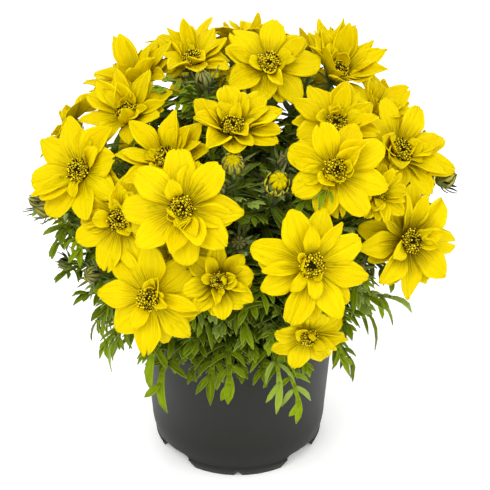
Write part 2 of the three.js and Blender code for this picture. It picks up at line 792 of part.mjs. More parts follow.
const plant = new THREE.Group();
plant.add(named('pot', pot, potPlastic));
plant.add(named('soil', soil, peat));
shoots.forEach(({ owner, solids }) => {
  plant.add(named(owner, geometryFrom(wasm.Manifold.union(solids)), leafGreen));
});
blooms.forEach((bloom) => {
  plant.add(named(bloom.owner, assembleBloom(bloom), petalYellow));
});

export default plant;
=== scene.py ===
import json
import math

import bmesh
import bpy
from mathutils import Matrix, Vector, kdtree, noise

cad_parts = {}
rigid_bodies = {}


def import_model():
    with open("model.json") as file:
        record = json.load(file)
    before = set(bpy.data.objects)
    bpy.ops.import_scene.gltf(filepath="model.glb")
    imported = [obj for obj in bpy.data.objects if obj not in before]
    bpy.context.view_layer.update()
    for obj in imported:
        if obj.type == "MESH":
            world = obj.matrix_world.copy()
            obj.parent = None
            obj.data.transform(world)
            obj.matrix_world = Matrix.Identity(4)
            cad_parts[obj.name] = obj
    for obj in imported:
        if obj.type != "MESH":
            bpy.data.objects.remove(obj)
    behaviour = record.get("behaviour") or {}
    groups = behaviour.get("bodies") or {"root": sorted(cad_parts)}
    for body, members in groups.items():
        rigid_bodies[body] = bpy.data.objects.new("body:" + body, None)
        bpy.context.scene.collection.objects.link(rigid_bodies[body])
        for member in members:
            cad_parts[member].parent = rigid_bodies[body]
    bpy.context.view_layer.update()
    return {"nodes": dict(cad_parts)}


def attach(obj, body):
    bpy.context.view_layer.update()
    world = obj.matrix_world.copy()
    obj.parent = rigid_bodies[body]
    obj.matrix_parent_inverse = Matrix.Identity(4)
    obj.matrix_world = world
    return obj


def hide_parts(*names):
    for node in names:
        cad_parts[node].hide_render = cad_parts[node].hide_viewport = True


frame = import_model()
print("frame loaded")

# A potted bidens. Sizes are in millimetres and angles in degrees, and meshes are scaled to metres
# when they are finished. A turn goes round from the front (0) to the right (90), a rise is up from level.

mm = 0.001
up = Vector((0, 0, 1))
chance = {"step": 7919, "start": 12345, "factor": 16807, "modulus": 2147483647}
seeds = {"leaves": 500, "petals": 900, "eyes": 1700, "stems": 2100, "filler": 3100, "core": 5100}


def drawsFrom(seed):
    # draws between two bounds, the same ones for the same seed
    state = seed * chance["step"] + chance["start"]

    def draw(low, high):
        nonlocal state
        state = state * chance["factor"] % chance["modulus"]
        return low + (high - low) * state / chance["modulus"]

    draw(0, 1)
    draw(0, 1)
    return draw


def heading(turn, rise):
    level = math.cos(math.radians(rise))
    sideways = math.sin(math.radians(turn)) * level
    onward = -math.cos(math.radians(turn)) * level
    return Vector((sideways, onward, math.sin(math.radians(rise))))


def turnOf(line):
    return math.degrees(math.atan2(line.x, -line.y))


def squareTo(direction, face):
    return (face - direction * face.dot(direction)).normalized()


def smooth(low, high, value):
    share = min(max((value - low) / (high - low), 0), 1)
    return share * share * (3 - 2 * share)


def mixed(low, high, share):
    return low + (high - low) * share


# Camera, light and floor

studio = {
    "lens": 110.2,
    "sensor": 36,
    "eye": (4.15, -757.3, 548.9),
    "pitch": 29,
    "worldStrength": 0.95,
    "worldColor": (1, 1, 1, 1),
    "lightAim": (0, 0, 140),
    "lights": {  # place, size and power
        "key_light": ((-260, -760, 1000), 700, 7),
        "fill_light": ((700, -300, 500), 700, 1.5),
        "back_light": ((-150, 800, 900), 800, 4),
    },
    "floorRadius": 6000,
    "floorColor": (0.95, 0.95, 0.95, 1),
    "floorGlow": 0.2,
}


def linked(name, data):
    item = bpy.data.objects.new(name, data)
    bpy.context.scene.collection.objects.link(item)
    return item


def meshOf(name, bm, *paints):
    mesh = bpy.data.meshes.new(name)
    bm.to_mesh(mesh)
    bm.free()
    for paint in paints:
        mesh.materials.append(paint)
    return mesh


def addCamera():
    data = bpy.data.cameras.new("camera")
    data.lens = studio["lens"]
    data.sensor_width = studio["sensor"]
    camera = linked("camera", data)
    camera.location = Vector(studio["eye"]) * mm
    camera.rotation_euler = (math.radians(90 - studio["pitch"]), 0, 0)
    bpy.context.scene.camera = camera


def addSoftLight(name, place, size, power):
    data = bpy.data.lights.new(name, "AREA")
    data.shape = "DISK"
    data.size = size * mm
    data.energy = power
    light = linked(name, data)
    light.location = Vector(place) * mm
    aim = Vector(studio["lightAim"]) * mm - light.location
    light.rotation_euler = aim.to_track_quat("-Z", "Y").to_euler()


def addFloor(paint):
    bm = bmesh.new()
    bmesh.ops.create_circle(bm, cap_ends=True, radius=studio["floorRadius"] * mm, segments=64)
    linked("floor", meshOf("floor", bm, paint))


def lightWorld():
    world = bpy.data.worlds.new("studio")
    world.use_nodes = True
    background = world.node_tree.nodes["Background"]
    background.inputs["Color"].default_value = studio["worldColor"]
    background.inputs["Strength"].default_value = studio["worldStrength"]
    bpy.context.scene.world = world


# Materials: maths on values is written as maths, and every other node comes from one method.


class Value:
    def __init__(self, paint, socket):
        self.paint = paint
        self.socket = socket

    def maths(self, operation, first, second=0.0):
        node = self.paint.node("ShaderNodeMath", {"operation": operation}, {0: first, 1: second})
        return Value(self.paint, node.outputs[0])

    def __add__(self, other):
        return self.maths("ADD", self, other)

    def __radd__(self, other):
        return self.maths("ADD", other, self)

    def __sub__(self, other):
        return self.maths("SUBTRACT", self, other)

    def __rsub__(self, other):
        return self.maths("SUBTRACT", other, self)

    def __mul__(self, other):
        return self.maths("MULTIPLY", self, other)

    def __rmul__(self, other):
        return self.maths("MULTIPLY", other, self)

    def __pow__(self, other):
        return self.maths("POWER", self, other)

    def sine(self):
        return self.maths("SINE", self)

    def size(self):
        return self.maths("ABSOLUTE", self)

    def clipped(self):
        node = self.paint.node("ShaderNodeClamp", {}, {"Value": self})
        return Value(self.paint, node.outputs[0])


class Paint:
    def __init__(self, name):
        self.material = bpy.data.materials.new(name)
        self.material.use_nodes = True
        self.tree = self.material.node_tree
        self.shader = self.tree.nodes["Principled BSDF"]

    def node(self, kind, settings, inputs):
        made = self.tree.nodes.new(kind)
        for key, value in settings.items():
            if key == "stops":
                self.setStops(made.color_ramp, value)
            else:
                setattr(made, key, value)
        for key, value in inputs.items():
            self.feed(made.inputs[key], value)
        return made

    def setStops(self, ramp, stops):
        while len(ramp.elements) < len(stops):
            ramp.elements.new(1)
        for element, (place, color) in zip(ramp.elements, stops):
            element.position = place
            element.color = (*color, 1)

    def feed(self, socket, value):
        if isinstance(value, Value):
            self.tree.links.new(value.socket, socket)
        elif isinstance(value, tuple) and len(value) == 3 and len(socket.default_value) == 4:
            socket.default_value = (*value, 1)
        else:
            socket.default_value = value

    def attribute(self, name):
        node = self.node("ShaderNodeAttribute", {"attribute_name": name}, {})
        return Value(self, node.outputs["Fac"])

    def coordinates(self, kind):
        node = self.node("ShaderNodeTexCoord", {}, {})
        return Value(self, node.outputs[kind])

    def parts(self, vector):
        node = self.node("ShaderNodeSeparateXYZ", {}, {"Vector": vector})
        return [Value(self, output) for output in node.outputs]

    def joined(self, x, y, z):
        node = self.node("ShaderNodeCombineXYZ", {}, {"X": x, "Y": y, "Z": z})
        return Value(self, node.outputs[0])

    def cloud(self, vector, scale, detail=3.0):
        inputs = {"Vector": vector, "Scale": scale, "Detail": detail, "Roughness": 0.55}
        return Value(self, self.node("ShaderNodeTexNoise", {}, inputs).outputs["Fac"])

    def grains(self, vector, scale):
        inputs = {"Vector": vector, "Scale": scale}
        return Value(self, self.node("ShaderNodeTexVoronoi", {}, inputs).outputs["Distance"])

    def ramp(self, factor, stops):
        node = self.node("ShaderNodeValToRGB", {"stops": stops}, {"Fac": factor})
        return Value(self, node.outputs["Color"])

    def blend(self, factor, first, second):
        node = self.node("ShaderNodeMix", {"data_type": "RGBA"}, {0: factor, 6: first, 7: second})
        return Value(self, node.outputs[2])

    def bump(self, height, distance):
        inputs = {"Height": height, "Distance": distance}
        return Value(self, self.node("ShaderNodeBump", {}, inputs).outputs["Normal"])

    def finish(self, **sockets):
        for name, value in sockets.items():
            self.feed(self.shader.inputs[name.replace("_", " ")], value)
        return self.material


petalFinish = {
    "bright": (0.73, 0.565, 0.0),
    # deep is a darker yellow: painted shade along the furrows, and random darker patches
    "deep": (0.56, 0.405, 0.0),
    "base": (0.09, 0.055, 0.0),
    "baseFrom": 0.14,  # where a petal comes out from under the eye
    "furrows": 9,
    "furrowDepth": 0.00022,
    "blotches": 60.0,
    "grain": 900.0,
}


def petalPaint():
    # yellow with lengthwise furrows, streaks and brown towards the eye, more of it where tint is high. The
    # furrows are darker, partly veins and partly painted shade in the grooves
    paint = Paint("petals")
    across, along, _ = paint.parts(paint.coordinates("UV"))
    tone = paint.attribute("tone")
    place = paint.coordinates("Object")
    darkBase = paint.attribute("tint")
    drift = paint.cloud(paint.joined(across * 3, along * 1.2, tone * 9), 2.0)
    furrow = ((across + (drift - 0.5) * 0.2) * (petalFinish["furrows"] * math.tau)).sine() * 0.5 + 0.5
    streak = paint.cloud(paint.joined(across * 9 + tone * 31, along * 0.9, tone * 17), 1.6)
    blotch = paint.cloud(place, petalFinish["blotches"])
    patch = ((streak - 0.42) * 3.2).clipped()
    # towards deep: painted shade along the furrows, with random streaks, blotches and a tone for each petal
    shade = (furrow * patch * 0.34 + patch * 0.3 + blotch * 0.3 + tone * 0.32 - 0.28).clipped()
    color = paint.blend(shade, petalFinish["bright"], petalFinish["deep"])
    lines = (furrow * furrow * (1 - along * 1.7).clipped() * ((streak - 0.4) * 5).clipped()).clipped()
    color = paint.blend(lines * (0.72 + darkBase * 0.28), color, petalFinish["base"])
    atBase = (1 - (along - petalFinish["baseFrom"]) * (2.6 - darkBase)).clipped() ** 1.2
    strength = furrow * 0.3 + streak * 0.5 + darkBase * 0.9
    color = paint.blend((atBase * strength).clipped(), color, petalFinish["base"])
    height = furrow * 0.6 + streak * 1.4 + paint.cloud(place, petalFinish["grain"]) * 0.15
    return paint.finish(
        Base_Color=color,
        Roughness=0.42 + blotch * 0.12,
        Normal=paint.bump(height, petalFinish["furrowDepth"]),
        Subsurface_Weight=0.35,
        Subsurface_Radius=(1.0, 0.8, 0.02),
        Subsurface_Scale=0.002,
        Specular_IOR_Level=0.03,
    )


leafFinish = {
    "bright": (0.25, 0.355, 0.0),
    "dark": (0.024, 0.042, 0.0),
    # rib: a paler midrib, partly painted highlight
    "rib": (0.25, 0.36, 0.02),
    # edge: paler edges, partly painted highlight
    "edge": (0.36, 0.44, 0.13),
    # a painted sheen, a paler green standing in for highlights
    "paintedSheen": (0.38, 0.47, 0.18),
    "sheenFrom": 0.92,  # leaves of a tone past this get a painted sheen, a paler green
    "ribDepth": 0.00018,
    "blotches": 130.0,
    "grain": 1500.0,
    "stem": (0.17, 0.24, 0.03),
    "stemDark": (0.06, 0.085, 0.015),
    "stemDepth": 0.0003,
}


def leafPaint():
    paint = Paint("leaves")
    across, along, _ = paint.parts(paint.coordinates("UV"))
    tone = paint.attribute("tone")
    place = paint.coordinates("Object")
    blotch = paint.cloud(place, leafFinish["blotches"])
    fromRib = (across - 0.5).size() * 2
    streak = paint.cloud(paint.joined(across * 2.4 + tone * 40, along * 1.6, tone * 23), 1.7)
    # darker where tone is low, which holds painted shade deep in the plant, with random blotches and
    # lengthwise streaks that are partly painted highlights
    shade = (tone * 0.85 + blotch * 0.2 + streak * 0.9 - 0.45).clipped()
    color = paint.blend(shade, leafFinish["dark"], leafFinish["bright"])
    # a painted sheen on the leaves of highest tone
    paintedSheen = ((tone - leafFinish["sheenFrom"]) * 7).clipped() * 0.6
    color = paint.blend(paintedSheen, color, leafFinish["paintedSheen"])
    # a paler midrib, partly painted highlight
    color = paint.blend((1 - fromRib * 5.5).clipped() * 0.4, color, leafFinish["rib"])
    # paler edges, partly painted highlight
    color = paint.blend((fromRib * 6 - 5).clipped() * 0.3, color, leafFinish["edge"])
    height = fromRib * 3.2 + paint.cloud(place, leafFinish["grain"]) * 0.5
    return paint.finish(
        Base_Color=color,
        Roughness=0.36 + blotch * 0.2,
        Normal=paint.bump(height, leafFinish["ribDepth"]),
        Subsurface_Weight=0.12,
        Subsurface_Radius=(0.5, 1.0, 0.2),
        Subsurface_Scale=0.0008,
        Specular_IOR_Level=0.05,
    )


def stemPaint():
    paint = Paint("stems")
    x, y, z = paint.parts(paint.coordinates("Object"))
    streak = paint.cloud(paint.joined(x * 4, y * 4, z * 0.3), 220.0)
    return paint.finish(
        Base_Color=paint.blend(streak, leafFinish["stem"], leafFinish["stemDark"]),
        Roughness=0.5 + streak * 0.1,
        Normal=paint.bump(streak, leafFinish["stemDepth"]),
        Specular_IOR_Level=0.15,
    )


budFinish = {
    "green": (0.17, 0.18, 0.06),
    "ripe": (0.6, 0.54, 0.02),
    "stripe": (0.024, 0.02, 0.009),
    "bractDark": (0.018, 0.02, 0.008),
    "bractGreen": (0.2, 0.25, 0.07),
}


def scalePaint():
    # green to ripe yellow by tone, with a dark stripe along the middle
    paint = Paint("bud_scales")
    across, along, _ = paint.parts(paint.coordinates("UV"))
    color = paint.blend(paint.attribute("tone"), budFinish["green"], budFinish["ripe"])
    fromRib = (across - 0.5).size() * 2
    stripe = ((1 - fromRib * 1.4).clipped() * (0.5 + along * 1.2)).clipped()
    color = paint.blend(stripe * 0.9, color, budFinish["stripe"])
    return paint.finish(Base_Color=color, Roughness=0.55, Specular_IOR_Level=0.2)


def bractPaint():
    paint = Paint("bracts")
    _, along, _ = paint.parts(paint.coordinates("UV"))
    light = (paint.attribute("tone") * 1.4 - along * 0.3).clipped()
    color = paint.blend(light, budFinish["bractDark"], budFinish["bractGreen"])
    return paint.finish(Base_Color=color, Roughness=0.7, Specular_IOR_Level=0.05)


eyeFinish = [
    (0.0, (0.008, 0.004, 0.001)),
    (0.4, (0.03, 0.018, 0.001)),
    (0.6, (0.4, 0.29, 0.001)),
    (1.0, (1.0, 0.8, 0.01)),
]


def eyePaint():
    paint = Paint("eye")
    color = paint.ramp(paint.attribute("tint"), eyeFinish)
    return paint.finish(Base_Color=color, Roughness=0.6, Specular_IOR_Level=0.1)


potFinish = {"dark": (0.008, 0.008, 0.006), "light": (0.014, 0.014, 0.0105), "stippleDepth": 0.00006}


def potPaint():
    paint = Paint("pot_plastic")
    place = paint.coordinates("Object")
    haze = paint.cloud(place, 28.0, 4.0)
    fine = paint.cloud(place, 1600.0, 2.0)
    light = (haze * 0.6 + fine * 0.2).clipped()
    return paint.finish(
        Base_Color=paint.blend(light, potFinish["dark"], potFinish["light"]),
        Roughness=0.46 + haze * 0.12,
        Normal=paint.bump(fine, potFinish["stippleDepth"]),
        Specular_IOR_Level=0.24,
    )


soilFinish = {"dark": (0.012, 0.008, 0.006), "light": (0.075, 0.046, 0.028), "crumbDepth": 0.0012}


def soilPaint():
    paint = Paint("potting_soil")
    place = paint.coordinates("Object")
    crumb = paint.grains(place, 420.0)
    cloudy = paint.cloud(place, 90.0, 4.0)
    light = (crumb + cloudy * 0.4 - 0.2).clipped()
    return paint.finish(
        Base_Color=paint.blend(light, soilFinish["dark"], soilFinish["light"]),
        Roughness=0.95,
        Normal=paint.bump(crumb + cloudy, soilFinish["crumbDepth"]),
    )


def floorPaint():
    paint = Paint("floor")
    return paint.finish(
        Base_Color=studio["floorColor"],
        Roughness=0.7,
        Specular_IOR_Level=0.2,
        Emission_Color=(1.0, 1.0, 1.0),
        Emission_Strength=studio["floorGlow"],
    )


# Meshes: tone and tint are numbers on the vertices that the materials read; on leaves, tone is lowered
# deeper in the plant, as painted shade. The materials of a leafy stem are numbered in this order.

leafKind, stemKind, scaleKind, bractKind, petalKind = range(5)


def newSurface():
    bm = bmesh.new()
    bm.loops.layers.uv.new("UVMap")
    bm.verts.layers.float.new("tone")
    bm.verts.layers.float.new("tint")
    return bm


def mark(bm, verts, layerName, value):
    layer = bm.verts.layers.float[layerName]
    for vert in verts:
        vert[layer] = value


def setKind(verts, kind):
    for face in {face for vert in verts for face in vert.link_faces}:
        face.material_index = kind


def addSheet(bm, columns, rows, place, tone, kind=leafKind):
    # a grid of points, each where place puts its share across (-1 to 1) and along (0 to 1)
    made = bmesh.ops.create_grid(bm, x_segments=columns, y_segments=rows, size=1, calc_uvs=True)
    for vert in made["verts"]:
        vert.co = place(vert.co.x, (vert.co.y + 1) / 2)
    mark(bm, made["verts"], "tone", tone)
    setKind(made["verts"], kind)


def thicken(bm, thickness):
    bmesh.ops.solidify(bm, geom=bm.faces[:], thickness=thickness)
    bmesh.ops.recalc_face_normals(bm, faces=bm.faces[:])


def addTube(bm, points, radii):
    curve = bpy.data.curves.new("route", "CURVE")
    curve.dimensions = "3D"
    curve.bevel_depth = 1
    curve.bevel_resolution = 2
    curve.use_fill_caps = True
    spline = curve.splines.new("POLY")
    spline.points.add(len(points) - 1)
    for control, point, radius in zip(spline.points, points, radii):
        control.co = (*point, 1)
        control.radius = radius
    holder = bpy.data.objects.new("route", curve)
    mesh = bpy.data.meshes.new_from_object(holder)
    before = len(bm.verts)
    bm.from_mesh(mesh)
    bm.verts.ensure_lookup_table()
    mark(bm, bm.verts[before:], "tone", 0.5)
    setKind(bm.verts[before:], stemKind)
    bpy.data.objects.remove(holder)
    bpy.data.curves.remove(curve)
    bpy.data.meshes.remove(mesh)


def absorb(whole, part):
    mesh = meshOf("part", part)
    whole.from_mesh(mesh)
    bpy.data.meshes.remove(mesh)


def finishPiece(name, bm, paints, replaced=()):
    bmesh.ops.scale(bm, vec=(mm, mm, mm), verts=bm.verts[:])
    for face in bm.faces:
        face.smooth = True
    piece = linked(name, meshOf(name, bm, *paints))
    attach(piece, "root")
    if replaced:
        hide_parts(*replaced)


# Pot

pot = {
    "sides": 96,
    "baseRadius": 48.6,
    "bellyRadius": 53.2,
    "bellyHeight": 22,
    "rimRadius": 57.9,
    "height": 86,
    "rimBand": 6,
    "rimProud": 0.7,
    "wall": 1.4,
    "floorUnder": 9.5,
    "floorTop": 11.5,
    "footWidth": 3.4,
    "stepHeight": 6.2,
    "archTurns": [50, 130, 230, 310],
    "archHeight": 9.2,
    "archHalfWide": 15.6,
    "archHalfTop": 10.4,
    "notchTurns": [0, 90, 180, 270],
    "notchHeight": 3.6,
    "notchHalfWide": 2.4,
    "cutFrom": 8,  # a cut in the foot starts this far outside it
    "cutDepth": 22,
    "drainTurns": [45, 135, 225, 315],
    "drainOut": 26,
    "drainRadius": 4,
}


def spun(outline, sides):
    bm = bmesh.new()
    verts = [bm.verts.new((radius, 0, height)) for radius, height in outline]
    edges = [bm.edges.new(pair) for pair in zip(verts, verts[1:])]
    bmesh.ops.spin(
        bm, geom=verts + edges, cent=(0, 0, 0), axis=(0, 0, 1), dvec=(0, 0, 0),
        angle=math.tau, steps=sides, use_merge=True,
    )
    bmesh.ops.remove_doubles(bm, verts=bm.verts[:], dist=0.001)
    bmesh.ops.recalc_face_normals(bm, faces=bm.faces[:])
    return bm


def cutterFor(outline, turn):
    bm = bmesh.new()
    verts = [bm.verts.new((x, -pot["baseRadius"] - pot["cutFrom"], z)) for x, z in outline]
    face = bm.faces.new(verts)
    made = bmesh.ops.extrude_face_region(bm, geom=[face])
    moved = [item for item in made["geom"] if isinstance(item, bmesh.types.BMVert)]
    bmesh.ops.translate(bm, vec=(0, pot["cutDepth"], 0), verts=moved)
    bmesh.ops.recalc_face_normals(bm, faces=bm.faces[:])
    turned = Matrix.Rotation(math.radians(turn), 3, "Z")
    bmesh.ops.rotate(bm, cent=(0, 0, 0), matrix=turned, verts=bm.verts[:])
    return bm


def drainCutter(turn):
    bm = bmesh.new()
    place = Matrix.Translation(heading(turn, 0) * pot["drainOut"] + up * (pot["floorUnder"] + 1))
    bmesh.ops.create_cone(
        bm, cap_ends=True, segments=32, radius1=pot["drainRadius"], radius2=pot["drainRadius"],
        depth=6, matrix=place,
    )
    return bm


def cutAway(bm, cutters):
    body = linked("target", meshOf("target", bm))
    group = bpy.data.collections.new("cutters")
    for cutter in cutters:
        group.objects.link(bpy.data.objects.new("cutter", meshOf("cutter", cutter)))
    bpy.context.scene.collection.children.link(group)
    modifier = body.modifiers.new("cut", "BOOLEAN")
    modifier.operand_type = "COLLECTION"
    modifier.collection = group
    modifier.operation = "DIFFERENCE"
    modifier.solver = "EXACT"
    shaped = bpy.data.meshes.new_from_object(body.evaluated_get(bpy.context.evaluated_depsgraph_get()))
    for item in list(group.objects) + [body]:
        bpy.data.objects.remove(item)
    bpy.data.collections.remove(group)
    result = newSurface()
    result.from_mesh(shaped)
    return result


def sideAt(height):
    # rounded in towards the foot, and straight from the belly to the rim
    belly = pot["bellyHeight"]
    if height < belly:
        return mixed(pot["baseRadius"], pot["bellyRadius"], math.sin(math.pi / 2 * height / belly))
    return mixed(pot["bellyRadius"], pot["rimRadius"], (height - belly) / (pot["height"] - belly))


def innerAt(height):
    low = sideAt(pot["floorTop"]) - pot["wall"] - 0.5
    share = (height - pot["floorTop"]) / (pot["height"] - pot["floorTop"])
    return mixed(low, pot["rimRadius"] - pot["wall"], share)


def makePot():
    # the outline goes from the middle underneath, round the foot and the rim, to the middle of the floor
    base = pot["baseRadius"]
    inFoot = base - pot["footWidth"]
    rim = pot["rimRadius"]
    top = pot["height"]
    band = top - pot["rimBand"]
    step = pot["stepHeight"]
    outline = [
        (0, pot["floorUnder"]),
        (inFoot, pot["floorUnder"]),
        (inFoot + 0.2, 0.3),
        (inFoot + 0.6, 0),
        (base - 0.8, 0),
        (base - 0.45, 0.4),
        (sideAt(step / 2) - 0.3, step / 2),
        (sideAt(step) - 0.05, step - 0.4),
        (sideAt(step) - 0.15, step + 0.1),
        (sideAt(step) - 0.6, step + 0.5),
    ]
    for height in (step + 1.2, 9, 11, 13, 16, 19, 22, band):
        outline.append((sideAt(height) - pot["rimProud"], height))
    outline += [
        (rim - 0.3, band + 0.4),
        (rim - 0.05, band + 1),
        (rim, top - 0.6),
        (rim - 0.25, top - 0.1),
        (rim - 0.6, top),
        (rim - pot["wall"] + 0.3, top),
        (rim - pot["wall"], top - 0.4),
        (innerAt(pot["floorTop"]), pot["floorTop"]),
        (0, pot["floorTop"]),
    ]
    half, halfTop, high = pot["archHalfWide"], pot["archHalfTop"], pot["archHeight"]
    arch = [(-half, -1), (half, -1), (halfTop + 1, high - 0.8), (halfTop - 1, high),
            (1 - halfTop, high), (-halfTop - 1, high - 0.8)]
    nick, tall = pot["notchHalfWide"] + 1, pot["notchHeight"] - 0.2
    notch = [(-nick, -1), (nick, -1), (0.4, tall), (-0.4, tall)]
    cutters = [cutterFor(arch, turn) for turn in pot["archTurns"]]
    cutters += [cutterFor(notch, turn) for turn in pot["notchTurns"]]
    cutters += [drainCutter(turn) for turn in pot["drainTurns"]]
    return cutAway(spun(outline, pot["sides"]), cutters)


# Soil

soil = {
    "seam": 0.3,
    "edge": 77,
    "crown": 79.5,
    "sides": 110,
    "rings": 26,
    "rough": 0.9,
    "lumps": [(0.12, 0.6), (0.45, 0.5)],  # how fine and how strong
    "crumbs": 260,
    "crumbSize": (0.5, 1.7),
    "crumbSeed": 77,
    "holeDepth": 9,
}


def makeSoil():
    edge = innerAt(soil["edge"]) - soil["seam"] - 0.1
    low = innerAt(pot["floorTop"]) - soil["seam"] - 0.1
    outline = [(0, pot["floorTop"] + soil["seam"]), (low, pot["floorTop"] + soil["seam"])]
    for i in range(soil["rings"] + 1):
        share = i / soil["rings"]
        outline.append((edge * (1 - share), mixed(soil["edge"] - 0.8, soil["crown"] - 0.8, share)))
    shaped = spun(outline, soil["sides"])
    for vert in shaped.verts:
        if vert.co.z > soil["edge"] - 1.5:
            spot = Vector((vert.co.x, vert.co.y, 0))
            lumps = sum(noise.noise(spot * fine) * strong for fine, strong in soil["lumps"])
            vert.co.z += lumps * soil["rough"]
    bm = newSurface()
    absorb(bm, shaped)
    draw = drawsFrom(soil["crumbSeed"])
    for _ in range(soil["crumbs"]):
        out = (edge - 2) * draw(0, 1) ** 0.5
        turn = draw(0, 360)
        size = draw(*soil["crumbSize"])
        spot = heading(turn, 0) * out + up * (mixed(soil["crown"], soil["edge"], (out / edge) ** 2) - 0.7)
        made = bmesh.ops.create_icosphere(bm, subdivisions=1, radius=size, matrix=Matrix.Translation(spot))
        for vert in made["verts"]:
            vert.co.z = mixed(spot.z, vert.co.z, 0.6)
            vert.co += Vector((draw(-0.2, 0.2), draw(-0.2, 0.2), 0)) * size
    return bm


# Every leafy stem: its turn, its fork, how far out it stands and its count of leaves, then its blooms
# and its buds.
# A bloom: middle of its eye (x, y, z), facing (turn, rise), width, petals, how far the petals stand up.
# A bud: its middle (x, y, z) and its size.

plant = {
    "outerFork": (56, 120),  # how far out and how high the stem forks
    "innerFork": (24, 150),
    "forkStep": 0.11,
    "budLook": 110,  # the height in the middle of the plant that buds look away from
    "stalkRadius": 1.2,
    "calyxRadius": 3.4,
    "calyxHeight": 6.2,
    "trunkRadii": (1.7, 1.4),
    "stems": [
        (-62, "outerFork", 34, 4,
         [(-82, -50, 201, -35, 35, 58, 8, 14), (-58, -24, 222, -28, 58, 52, 8, 28)],
         [(-104, -38, 172, 5)]),
        (-34, "outerFork", 36, 4,
         [(-59, -76, 186, -30, 32, 55, 8, 8), (-44, -100, 154, -15, 22, 58, 8, 4)],
         [(-76, -74, 152, 5)]),
        (-8, "outerFork", 36, 4,
         [(-27, -94, 202, -8, 34, 60, 8, 10), (-9, -104, 166, 0, 26, 38, 8, 12),
          (-31, -76, 170, -12, -12, 42, 7, 5)],
         [(1, -90, 180, 4)]),
        (20, "outerFork", 36, 4,
         [(37, -104, 175, 15, 26, 60, 8, 8), (37, -95, 128, 14, -8, 42, 8, 10)],
         []),
        (50, "outerFork", 34, 4,
         [(91, -58, 164, 36, 20, 62, 8, 8), (73, -66, 196, 22, 38, 34, 8, 25)],
         [(64, -76, 156, 4)]),
        (82, "outerFork", 34, 4,
         [(88, -22, 199, 42, 45, 61, 8, 20), (104, 20, 178, 84, 28, 46, 7, 8)],
         [(114, -20, 182, 6)]),
        (-20, "innerFork", 14, 1,
         [(-36, -64, 214, -8, 58, 54, 8, 30), (-2, -55, 228, 0, 64, 52, 8, 22)],
         [(-2, -77, 218, 6), (-10, -80, 206, 5)]),
        (35, "innerFork", 14, 1,
         [(51, -42, 224, 20, 55, 50, 8, 24), (50, -72, 212, 8, 38, 55, 8, 12)],
         [(20, -82, 209, 6), (24, -66, 214, 4)]),
        (-95, "innerFork", 14, 1,
         [(-55, 8, 227, -60, 62, 61, 8, 34), (-24, 8, 240, -20, 72, 48, 8, 26)],
         [(-18, -15, 238, 5)]),
        (95, "innerFork", 14, 1,
         [(17, 4, 239, 8, 52, 54, 8, 12), (55, 18, 228, 40, 60, 60, 8, 40),
          (76, 4, 210, 62, 50, 54, 8, 28)],
         []),
        (150, "innerFork", 14, 1,
         [(44, 48, 226, 150, 60, 48, 7, 16), (6, 50, 236, 175, 66, 50, 7, 18)],
         []),
        (215, "innerFork", 14, 1,
         [(-30, 42, 234, 210, 64, 50, 7, 16), (-60, 50, 216, 232, 48, 48, 7, 12)],
         []),
        (120, "outerFork", 34, 4,
         [(86, 62, 190, 122, 36, 50, 7, 8), (94, 46, 146, 112, 8, 48, 7, 6)],
         []),
        (158, "outerFork", 34, 4,
         [(-2, 84, 212, 178, 48, 50, 7, 12), (42, 98, 186, 155, 30, 50, 7, 8),
          (52, 92, 142, 150, 5, 46, 7, 8)],
         [(16, 98, 164, 5)]),
        (188, "outerFork", 36, 4,
         [(-20, 100, 186, 190, 28, 50, 7, 8), (-10, 106, 142, 182, 4, 48, 7, 8)],
         []),
        (222, "outerFork", 34, 4,
         [(-72, 76, 190, 224, 32, 50, 7, 8), (-66, 82, 142, 218, 4, 46, 7, 8)],
         [(-40, 94, 166, 5)]),
        (250, "outerFork", 34, 4,
         [(-98, 34, 186, 252, 30, 50, 7, 8), (-98, 36, 142, 250, 2, 46, 7, 8)],
         []),
        (272, "outerFork", 34, 5,
         [],
         [(-113, -4, 160, 5), (-98, -16, 126, 4)]),
    ],
}


def stemPath(turn, fork, out):
    forkOut, forkHeight = plant[fork]
    level = heading(turn, 0)
    foot = level * out + up * (soil["crown"] - soil["holeDepth"] + soil["seam"])
    lift = level * out + up * (soil["crown"] + 14)
    return foot, lift, level * forkOut + up * forkHeight


def stemPoint(path, t):
    foot, lift, fork = path
    return foot * (1 - t) ** 2 + lift * (2 * t * (1 - t)) + fork * t * t


def stalkPoint(path, order, end, axis, t):
    start = stemPoint(path, 1 - plant["forkStep"] * order)
    reach = (end - start).length
    leaving = (path[2] - path[1]).normalized()
    first = start + leaving * reach * 0.1
    second = end - axis * reach * 0.35
    point = start * (1 - t) ** 3 + first * (3 * t * (1 - t) ** 2)
    return point + second * (3 * t * t * (1 - t)) + end * t ** 3


# A bend of the solids is found by the nearest point of the node, and a closer one has to be this much
# closer. A leaf whose tip is further away than leafGap was left out of the solids.

matching = {"closer": 0.02, "leafGap": 0.1}


def nodePoints(name):
    mesh = frame["nodes"][name].data
    tree = kdtree.KDTree(len(mesh.vertices))
    for i, vert in enumerate(mesh.vertices):
        tree.insert(vert.co / mm, i)
    tree.balance()
    return tree


# Blooms

bloomSizes = {
    "hubDrop": 3,
    "eyeHeight": 4.4,
    "hubRadius": 6,
    "widest": 14.5,
    "innerPetals": 2,
    "innerWidest": 9,
    "outerRows": (0.62, 1),
    "outerTip": 0.54,
    "innerRows": (0.58, 1),
    "bends": [0, 8, -8, 16, -16, 24, -24, 32, -32, 42, 52],
    "shares": [1, 0.8, 0.6, 0.42],
    "underEye": 3.4,  # a petal starts this far inside the ring
    "petalThick": 0.45,
    "secondRow": 0.4,
    "grids": {"broad": (10, 11), "short": (6, 8), "standing": (6, 12)},
    "darkBases": {5: 1, 6: 0.8, 9: 0.6, 14: 0.7},  # how brown the petal bases are, by bloom
    "darkStep": 0.2,  # and for the others, in three steps
}

